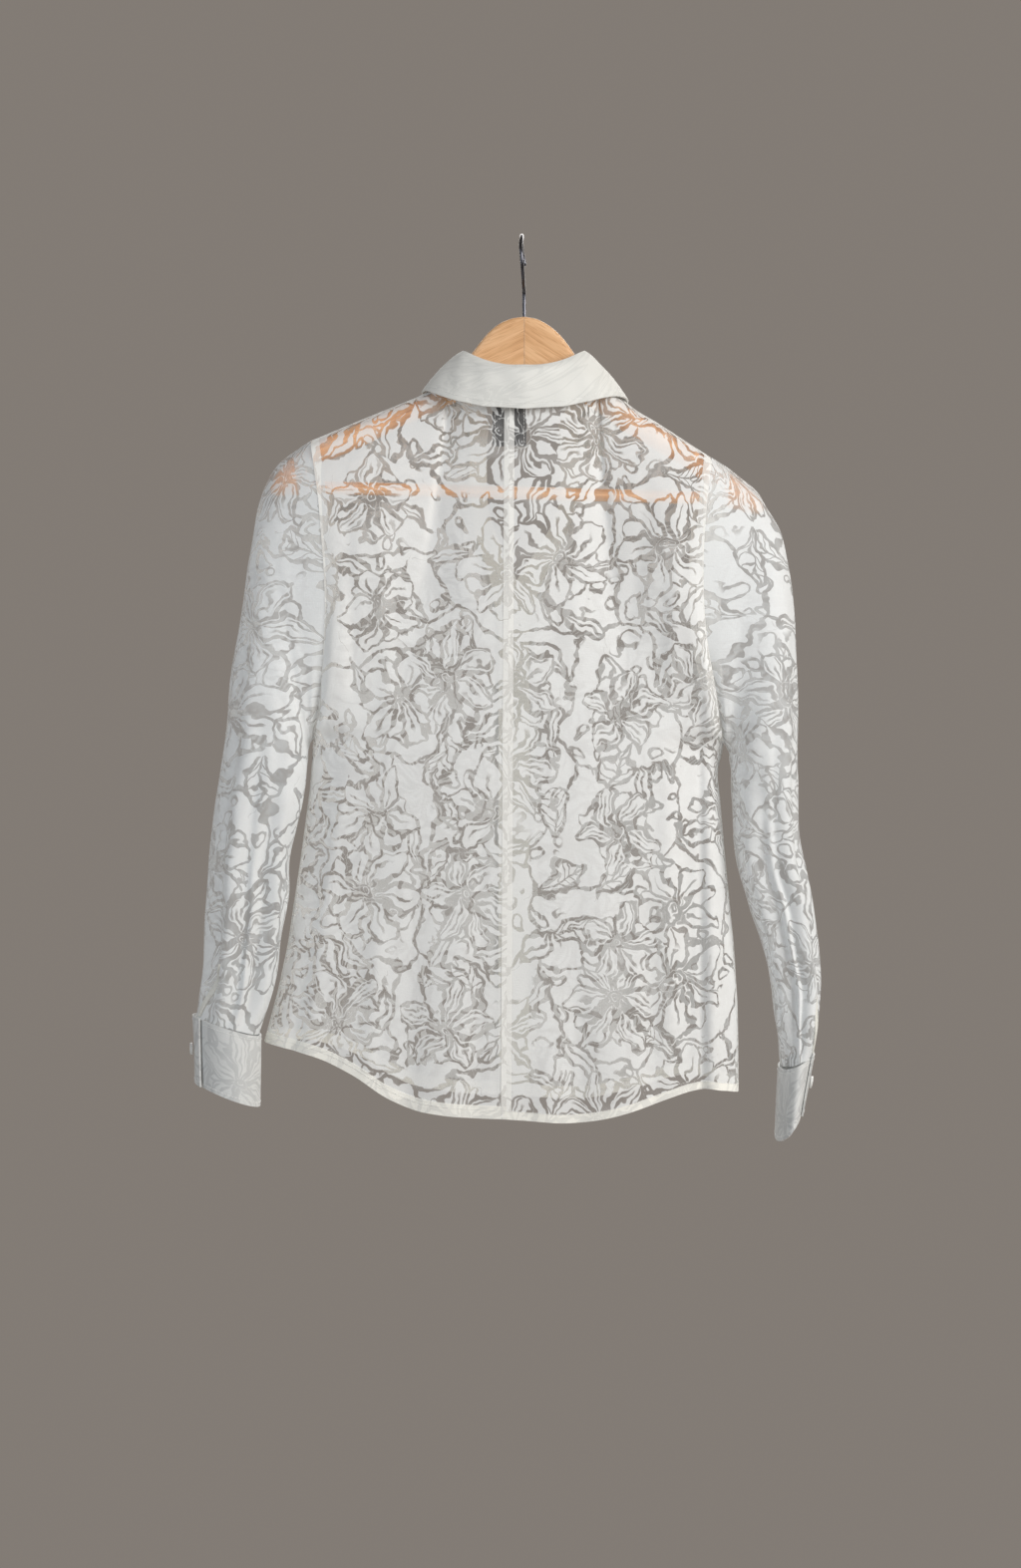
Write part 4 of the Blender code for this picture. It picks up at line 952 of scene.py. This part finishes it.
tree, sockets = principled("shell_button", Roughness=0.22, IOR=1.55, Coat_Weight=0.4, Coat_Roughness=0.12)
cloud = solid_noise(tree, object_place(tree), 420.0, 2.0)
stops = [(0.3, (0.86, 0.86, 0.83, 1)), (0.5, (0.80, 0.83, 0.82, 1)), (0.7, (0.88, 0.84, 0.83, 1))]
tree.join(tree.node("ValToRGB", {"stops": stops}, {"Fac": cloud}, "Color"), sockets["Base Color"])
# The holes are not cut through: each is a dark disc on the dished middle, and its colour is painted shade.
principled("button_hole_shade", Base_Color=(0.22, 0.21, 0.19, 1), Roughness=0.9)


def sew_button(node, inside=None):
    """A finer button on the place of the CAD one, with its holes and thread. It faces the front, or away from
    a point inside the cuff."""
    corners = np.array([corner.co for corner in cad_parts[node].data.vertices]) / MM
    middle = corners.mean(axis=0)
    facing = Vector(np.linalg.svd(corners - middle)[2][2])
    outward = Vector((0, 1, 0)) if inside is None else Vector(middle - inside)
    if facing.dot(outward) < 0:
        facing = -facing
    shape = bmesh.new()
    add_rod(shape, 40, BUTTON_RADIUS, BUTTON_THICKNESS)
    top = max(shape.faces, key=lambda face: face.calc_center_median().z)
    low = min(shape.faces, key=lambda face: face.calc_center_median().z)
    rims = [edge for face in (top, low) for edge in face.edges]
    bmesh.ops.bevel(shape, geom=rims, offset=RIM_RADIUS, segments=3, affect="EDGES", profile=0.5)
    top = max(shape.faces, key=lambda face: face.calc_center_median().z * 100 + face.calc_area())
    for thickness, depth in DISH_STEPS:
        bmesh.ops.inset_region(shape, faces=[top], thickness=thickness, depth=depth)
    floor_z = top.calc_center_median().z
    smooth(shape)
    # Dark discs of painted shade stand for the four holes.
    for across in (-1, 1):
        for up in (-1, 1):
            spot = Matrix.Translation((across * HOLE_SPACING, up * HOLE_SPACING, floor_z - 0.05))
            add_rod(shape, 14, HOLE_RADIUS, 0.16, spot, 1)
    for tilt in (1, -1):
        spot = Matrix.Translation((0, 0, floor_z + 0.3)) @ Matrix.Rotation(tilt * math.pi / 4, 4, "Z")
        spot = spot @ Matrix.Rotation(math.pi / 2, 4, "X")
        add_rod(shape, 8, THREAD_RADIUS, HOLE_SPACING * 3, spot, 2)
    whole = Matrix.Scale(MM, 4) @ turned_to(facing, Vector(middle))
    bmesh.ops.transform(shape, matrix=whole, verts=shape.verts)
    looks = "shell_button", "button_hole_shade", "sewing_thread"
    made = add_piece(f"{node}_shell", shape, "shell_button", *looks, sharp=50)
    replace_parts(made, node)


for number in range(1, 7):
    sew_button(f"front_button_{number}")


# The cuffs: bands of the same cloth, doubled and faced, wrapped round each wrist, with lapped ends to button.
CUFF = {
    LEFT: listed(Ring, [
        (-293.2, -8, -700.8, -236.4, -16, -717.8, 34), (-291.5, -8, -760.8, -237, -16, -781, 34),
    ]),
    RIGHT: listed(Ring, [
        (259.6, 5, -736.6, 233.6, 4, -748.6, 45), (250, 5, -789, 230, 4, -813, 46),
    ]),
}
CUFF_WALL = 1.6
CUFF_START = 20.0
CUFF_END = 404.0
CUFF_GROWTH = 4.0

for side, way in WAYS:
    top, low = CUFF[side]
    angles = np.linspace(CUFF_START, CUFF_END, 27)
    rows = []
    for share in np.linspace(0, 1, 17):
        ring = Ring(*(a + (b - a) * share for a, b in zip(top, low)))
        rows.append(ring_points(side, ring, None, RING_ROUNDNESS, angles, CUFF_GROWTH))
    grid = refine(np.array(rows), 131, 1)
    normals = tube_normals(grid, ring=False)
    down, round_it = np.linspace(0, 1, 17)[:, None], np.linspace(0, 1, 131)[None]
    ripple = 0.35 * np.sin(round_it * 41 + side) * np.sin(math.pi * down)
    ripple += 0.2 * np.sin(round_it * 17 + down * 3)
    grid = grid + normals * ripple[..., None]
    seams = {"stitching_1": 0.06, "stitching_2": 0.94}
    sew_on(f"cuff_{way}", grid, "cuff_cloth", (normals, CUFF_WALL), seams, 0)
    sew_button(f"cuff_button_{way}", grid.mean(axis=(0, 1)))


# The collar: a stand on the neck seam and a leaf that turns down over it, both of the same cloth doubled over
# a crisp interlining, topstitched close to the edge.
STAND_LEAN = 13.0
STAND_HEIGHT = ((0, 90, NECK_END), (27.0, 20.5, 22.0))
FALL_OFFSET = 2.4
STAND_GAP = 1.0
COLLAR_WALL = 1.4
Edge = namedtuple("Edge", "angle x y z")
FALL_EDGE = listed(Edge, [
    (0, 0, -49.5, -160.8), (30, 36, -47.5, -158.4), (50, 60, -42, -152.5), (65, 76, -33, -146.5),
    (78, 86, -20, -140.5), (90, 92, 0, -138.3), (105, 92, 24, -143), (120, 85, 44, -168),
    (135, 76, 56, -196), (150, 66, 63, -228),
])
RIGHT_SHOULDER_DROP = 8.0


def from_neck(base):
    """The level way out from the neck's middle to a point."""
    return unit(np.array([base[0] - NECK_X, base[1], 0.0]))


def fold_line(angle):
    """The collar's fold, at the top of its stand."""
    base = neck(angle)
    lean = STAND_LEAN * (0.35 + 0.65 * math.sin(math.radians(min(90, abs(angle)))) ** 2)
    if abs(angle) > 90:
        lean = STAND_LEAN * (1 - 0.8 * (abs(angle) - 90) / (NECK_END - 90))
    return base - from_neck(base) * lean + UP * np.interp(abs(angle), *STAND_HEIGHT)


def fall_edge(angle):
    turn = abs(angle)
    x, y, z = (along(FALL_EDGE, "angle", turn, column) for column in ("x", "y", "z"))
    if angle > 0:
        z -= RIGHT_SHOULDER_DROP * math.exp(-(((turn - 92) / 20) ** 2))
        x += 2.5 * math.exp(-(((turn - 92) / 25) ** 2))
    return np.array([NECK_X + math.copysign(x, angle), y, z])


stand, fall = [], []
for angle in np.linspace(-NECK_END, NECK_END, 31):
    base, top = neck(angle), fold_line(angle)
    outward = from_neck(base)
    base = base + UP * STAND_GAP
    stand.append([base + (top - base) * share for share in (0, 0.5, 0.94)])
    edge = fall_edge(angle)
    shoulder = top + outward * (FALL_OFFSET + 1.2) + UP * 0.4
    leaf = [top + UP * 2.2 + outward * 0.6, shoulder]
    for share in (0.3, 0.55, 0.8, 1.0):
        bow = 4.0 * math.sin(math.pi * share)
        leaf.append(shoulder + (edge - shoulder) * share + outward * bow * 0.5 + UP * bow * 0.3)
    fall.append(leaf)
for word, form, tall, up, seams, rests_on in (
    ("stand", stand, 9, 0.0, {}, ["hanger_arm_left", "hanger_arm_right"]),
    ("fall", fall, 25, 20.0, {"stitching": 0.9}, ["collar_stand_cloth"]),
):
    grid = refine(refine(np.array(form).transpose(1, 0, 2), tall, 0), 241, 1)
    normals = normals_of(grid, (grid - (NECK_X, 0, 0)) * (1, 1, 0) + UP * up)
    if word == "fall":
        round_it, down = np.linspace(0, 1, 241)[None], np.linspace(0, 1, tall)[:, None]
        swell = np.sin(round_it * 37 + 2.2 * np.sin(down * 3.1) + 0.7) * np.sin(round_it * 11 + 1.1)
        swell = swell * 0.55 + 0.3 * np.sin(round_it * 83 - down * 4)
        grid = grid + normals * (swell * np.sin(math.pi * np.minimum(down * 1.15, 1.0)))[..., None]
    sew_on(f"collar_{word}", grid, "collar_cloth", (normals, COLLAR_WALL), seams, 0)


# The bindings: a narrow plain tape folded over the edges of each sleeve's slit, which lets its cuff open.
BINDING_HALF_WIDTH = 2.6
BINDING_LIFT = 1.6
BINDING_WALL = 1.0


def spot_on(grid, row, column):
    """A point of a grid between its rows and columns."""
    r, c = int(row), int(column)
    u, v = row - r, column - c
    top = grid[r, c] * (1 - v) + grid[r, c + 1] * v
    low = grid[r + 1, c] * (1 - v) + grid[r + 1, c + 1] * v
    return top * (1 - u) + low * u


for side, way, angle_top, angle_low in ((LEFT, "left", 64.8, 32.4), (RIGHT, "right", 39.6, 28.8)):
    grid, normals = sleeves[side]
    rows = []
    for share in np.linspace(0, 1, 33):
        row = (15.6 + 2.33 * share) * (SLEEVE_ROWS - 1) / (len(SLEEVE[side]) - 1)
        column = (180 + angle_top + (angle_low - angle_top) * share) * (SLEEVE_COLUMNS - 1) / 360
        middle, facing = spot_on(grid, row, column), unit(spot_on(normals, row, column))
        ahead = spot_on(grid, row, column + 0.5) - spot_on(grid, row, column - 0.5)
        across = unit(ahead - facing * (ahead @ facing))
        rows.append([
            middle + across * BINDING_HALF_WIDTH * place + facing * (BINDING_LIFT - 0.5 * place * place)
            for place in np.linspace(-1, 1, 7)
        ])
    grid = np.array(rows)
    facing = normals_of(grid, grid - sleeves[side][0].mean(axis=(0, 1)))
    piece = sew_on(f"binding_{way}", grid, "plain_cloth", (facing, BINDING_WALL), {"stitching": 0.85})
    sleeve, trims = sheets[f"sleeve_{way}"]


# The neck label: a bare black damask tape with white tacking stitches at its ends. It hangs inside the back
# and shows through the burnt-out lines.
tree, sockets = principled("label_tape", Roughness=0.55, Sheen_Weight=0.3, IOR=1.45)
ribs = tree.node("TexWave", {"bands_direction": "Z"}, {"Vector": object_place(tree), "Scale": 900.0}, "Fac")
tree.join(tree.mix(ribs, (0.012, 0.013, 0.017, 1), (0.03, 0.032, 0.04, 1)), sockets["Base Color"])
bump(tree, sockets, 0.4, 0.0003, ribs)
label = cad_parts["neck_label"]
label.data.materials.clear()
label.data.materials.append(materials["label_tape"])
low, high = (np.array(corner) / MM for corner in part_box("neck_label"))
for number, x in enumerate((low[0] + 2.0, high[0] - 2.0), 1):
    line = np.array([[x, low[1] - 0.2, z] for z in np.linspace(high[2] - 2, low[2] + 2, 5)])
    stitches(f"neck_label_stitching_{number}", line, np.tile([0.0, -1.0, 0.0], (5, 1)), "label_cloth")


# The hanger: two shaped beech arms glued at a mitre under the hook, with a turned bar between their ends.
# Each has its own grain, which runs along the arm, under a thin satin varnish.
GRAIN_ANGLE = {LEFT: 24.0, RIGHT: -33.0}
Section = namedtuple("Section", "x y top low half square")
ARM = {
    LEFT: listed(Section, [
        (1.35, 0, -71.5, -117.5, 7, 5), (-10, 0, -73.2, -122.5, 7, 5), (-19.4, 0, -77, -127, 7, 5),
        (-31, 0, -86, -133, 7, 4.5), (-42, 0, -99.5, -138.5, 7, 4), (-50, 0, -110, -142.5, 7, 3.5),
        (-60, 0, -122.9, -148, 7, 3), (-73, 0, -133.9, -154.4, 7.3, 2.4), (-90, 0, -144.5, -162, 7.6, 2),
        (-112, 0, -153.5, -171.5, 8, 2), (-131, 0.15, -161.1, -181.5, 9, 2),
        (-150, 0.3, -168.9, -190.5, 10.5, 2), (-168, 0.6, -176.4, -198, 12.5, 2),
        (-183, 0.9, -182.7, -204, 13.5, 2.1), (-190, 1.05, -186.3, -210, 13.5, 2.2),
        (-197, 1.2, -190.7, -231.5, 13.5, 2.2), (-210, 1.5, -200, -232, 13.5, 2.2),
        (-220, 1.8, -210.3, -233, 12.5, 2.2), (-227, 1.9, -222.5, -231, 7, 2.2),
    ]),
    RIGHT: listed(Section, [
        (1.65, 0, -71.5, -117.5, 7, 5), (13, 0, -73.8, -123, 7, 5), (23.9, 0, -79.7, -129, 7, 5),
        (34, 0, -88.5, -135, 7, 4.5), (43, 0, -99.8, -141, 7, 4), (51, 0, -111.5, -147, 7, 3.5),
        (61, 0, -123.9, -153, 7, 3), (75, 0, -135.2, -162, 7.3, 2.4), (91, 0, -150.1, -175, 7.6, 2),
        (106, 0, -160.5, -182.5, 8, 2), (127, 0.15, -173.3, -196, 9, 2), (144, 0.3, -184.4, -205, 10.5, 2),
        (158, 0.6, -193.5, -216, 12.5, 2), (170, 0.9, -201.3, -224, 13.5, 2.1),
        (177, 1.05, -205.5, -241, 13.5, 2.2), (190, 1.2, -214.7, -244.5, 13.5, 2.2),
        (203, 1.5, -225.3, -248, 13.5, 2.2), (211, 1.8, -233.3, -249.5, 12.5, 2.2),
        (216.5, 1.95, -241.7, -248.5, 8, 2.2),
    ]),
}
BAR_ENDS = ((-192.0, 4.0, -224.6), (171.2, 4.0, -234.6))
BAR_RADIUS = 5.8
WOOD_STOPS = [
    (0.28, (0.610, 0.325, 0.150, 1)), (0.42, (0.745, 0.430, 0.215, 1)), (0.55, (0.830, 0.510, 0.275, 1)),
    (0.72, (0.895, 0.590, 0.345, 1)),
]


def wood(name, grain_angle, seed):
    """Beech with its grain at an angle in the plane of the shirt, in degrees above +X."""
    tree, sockets = principled(name, Roughness=0.42, Coat_Weight=0.35, Coat_Roughness=0.25, IOR=1.5)
    turn = {"Vector": object_place(tree), "Angle": math.radians(grain_angle)}
    turned = tree.node("VectorRotate", {"rotation_type": "Y_AXIS"}, turn)
    shifted = tree.node("Mapping", {}, {"Vector": turned, "Location": (seed, seed, seed)})
    long_grain = tree.node("Mapping", {}, {"Vector": shifted, "Scale": (9.0, 160.0, 160.0)})
    pores = tree.node("Mapping", {}, {"Vector": shifted, "Scale": (60.0, 1900.0, 1900.0)})
    flecks = solid_noise(tree, pores, 1.0, 1.0)
    shade = solid_noise(tree, long_grain, 1.0, 3.0, 0.6) * 0.75 + solid_noise(tree, shifted, 14.0, 1.0) * 0.25
    colour = tree.node("ValToRGB", {"stops": WOOD_STOPS}, {"Fac": shade}, "Color")
    dark = tree.mix(1 - flecks.over(0.40, 0.07), colour, (0.80, 0.72, 0.64, 1), "MULTIPLY")
    tree.join(dark, sockets["Base Color"])
    tree.join(0.36 + flecks * 0.14, sockets["Roughness"])
    bump(tree, sockets, 0.15, 0.0002, flecks)


for side, way in WAYS:
    loops = []
    turns = np.linspace(0, math.tau, 65)
    for section in refine(np.array(ARM[side])[:, None], 97, 0)[:, 0]:
        x, y, top, low, half, square = section
        across, up = np.cos(turns), np.sin(turns)
        loop_y = y + half * np.sign(across) * np.abs(across) ** (2 / square)
        loop_z = (top + low) / 2 + (top - low) / 2 * np.sign(up) * np.abs(up) ** (2 / square)
        loops.append(np.stack([np.full(len(turns), x), loop_y, loop_z], axis=1))
    wood(f"beech_{way}", GRAIN_ANGLE[side], 3.0 + side)
    node, loops = f"hanger_arm_{way}", np.array(loops)
    piece = lay(f"{node}_wood", loops, f"beech_{way}", "hanger_wood", ring=True, solid=True)
    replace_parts(piece, node)

shape = bmesh.new()
left, right = (Vector(end) for end in BAR_ENDS)
add_rod(shape, 48, BAR_RADIUS, (right - left).length, turned_to(right - left, (left + right) / 2))
bmesh.ops.scale(shape, vec=(MM, MM, MM), verts=shape.verts)
smooth(shape)
wood("beech_bar", -1.6, 9.0)
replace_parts(add_piece("hanger_bar_wood", shape, "hanger_wood", "beech_bar", sharp=60), "hanger_bar")


# The hook: round steel wire bent to a crook and burnished dark, screwed into the wood where the arms meet.
WIRE_RADIUS = 1.6
CROOK_RADIUS = 22.0
HANGER_TOP_Z = -71.5
HANGER_X = 1.5

tree, sockets = principled("gunmetal", Base_Color=(0.10, 0.10, 0.115, 1), Metallic=1.0, Roughness=0.2)
tree.join(0.14 + solid_noise(tree, object_place(tree), 300.0, 3.0) * 0.16, sockets["Roughness"])

path = []
for degrees in np.linspace(-2, 222, 27):
    turn = math.radians(degrees)
    y, z = CROOK_RADIUS * math.cos(turn), WIRE_RADIUS - CROOK_RADIUS + CROOK_RADIUS * math.sin(turn)
    path.append(np.array([0.0, y, z]))
last, ahead = path[-1], unit(path[-1] - path[-2]) * 26.0
low, below = np.array([0.0, 0.0, -54.0]), np.array([0.0, 0.0, -26.0])
path += [curve(last, ahead, low, below, share) for share in np.linspace(0, 1, 8)[1:]]
path.append(np.array([0.0, 0.0, HANGER_TOP_Z + 0.3]))
sway = ((-80, HANGER_X), (-50, 1.2), (-20, -1.2), (-10, -2.0), (4, -0.4))
for point in path:
    point[0] = np.interp(point[2], [z for z, _ in sway], [x for _, x in sway])
for number, point in enumerate(path[:7]):
    point[0] += 3.6 * (1 - number / 7)
path = refine(np.array(path)[:, None], 161, 0)[:, 0]
ahead = unit(np.gradient(path, axis=0))
sideways = unit(np.cross(ahead, np.array([1.0, 0.0, 0.0])))
upright = np.cross(sideways, ahead)
turns = np.linspace(0, math.tau, 25)
taper = np.minimum(1.0, 0.55 + np.arange(len(path)) * 0.15)[:, None, None] * WIRE_RADIUS
wire = path[:, None] + taper * (
    sideways[:, None] * np.cos(turns)[None, :, None] + upright[:, None] * np.sin(turns)[None, :, None]
)
piece = lay("hook_wire", wire, "gunmetal", "dark_metal", ring=True, solid=True)
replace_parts(piece, "hook")


# The stage: soft daylight from the right, a weaker cool fill from the left, a taupe surround, a pale floor.
camera_data = bpy.data.cameras.new("camera")
camera_data.sensor_fit = "VERTICAL"
camera_data.sensor_height = 36
VIEW_HEIGHT = 1.4157
VIEW_DISTANCE = 2.4
camera_data.lens = camera_data.sensor_height * VIEW_DISTANCE / VIEW_HEIGHT
camera = bpy.data.objects.new("camera", camera_data)
camera.location = (-0.011, -VIEW_DISTANCE, -0.493)
camera.rotation_euler = (math.pi / 2, 0, 0)
bpy.context.scene.collection.objects.link(camera)
bpy.context.scene.camera = camera


def shine(name, kind, power, colour, place, turn, **more):
    """A lamp of this kind, with what else its kind needs."""
    data = bpy.data.lights.new(name, kind)
    data.energy = power
    data.color = colour
    for key, value in more.items():
        setattr(data, key, value)
    made = bpy.data.objects.new(name, data)
    made.location = place
    made.rotation_euler = turn
    bpy.context.scene.collection.objects.link(made)
    return made


for name, size, power, colour, place in (
    ("window", 1.3, 68.0, (1.0, 0.985, 0.96), (2.1, -1.65, 0.5)),
    ("sky_fill", 2.2, 18.5, (0.80, 0.90, 1.0), (-1.6, -1.6, 0.1)),
    ("back_glow", 1.8, 30.0, (1.0, 0.98, 0.95), (0.3, 1.9, 0.5)),
):
    turn = (Vector((0, 0, -0.45)) - Vector(place)).to_track_quat("-Z", "Y").to_euler()
    shine(name, "AREA", power, colour, place, turn, size=size)

# Warm spots that light only the wood stand for the daylight that thin cloth lets through to it.
WARM = (1.0, 0.60, 0.34)
BEAM = {"spot_size": math.radians(7.0), "spot_blend": 0.5}
hanger_parts = bpy.data.collections.new("hanger_parts")
for name in ("hanger_arm_left_wood", "hanger_arm_right_wood", "hanger_bar_wood"):
    hanger_parts.objects.link(bpy.data.objects[name])
for number, x, z, power in ((1, -0.165, -0.185, 25.0), (2, 0.155, -0.215, 25.0), (3, -0.01, -0.25, 19.0)):
    light = shine(f"wood_glow_{number}", "SPOT", power, WARM, (x, -1.6, z), (math.pi / 2, 0, 0), **BEAM)
    light.light_linking.receiver_collection = hanger_parts
    light.light_linking.blocker_collection = hanger_parts

world = bpy.data.worlds.new("surround")
bpy.context.scene.world = world
world.use_nodes = True
world.node_tree.nodes["Background"].inputs["Color"].default_value = (0.225, 0.200, 0.178, 1)

shape = bmesh.new()
bmesh.ops.create_grid(shape, x_segments=1, y_segments=1, size=1.6)
bmesh.ops.translate(shape, vec=(0, 0, -1.95), verts=shape.verts)
mesh = bpy.data.meshes.new("floor")
shape.to_mesh(mesh)
shape.free()
principled("floor", Base_Color=(0.62, 0.60, 0.57, 1), Roughness=0.8)
mesh.materials.append(materials["floor"])
floor = bpy.data.objects.new("floor", mesh)
bpy.context.scene.collection.objects.link(floor)
bpy.context.scene.view_settings.view_transform = "Standard"
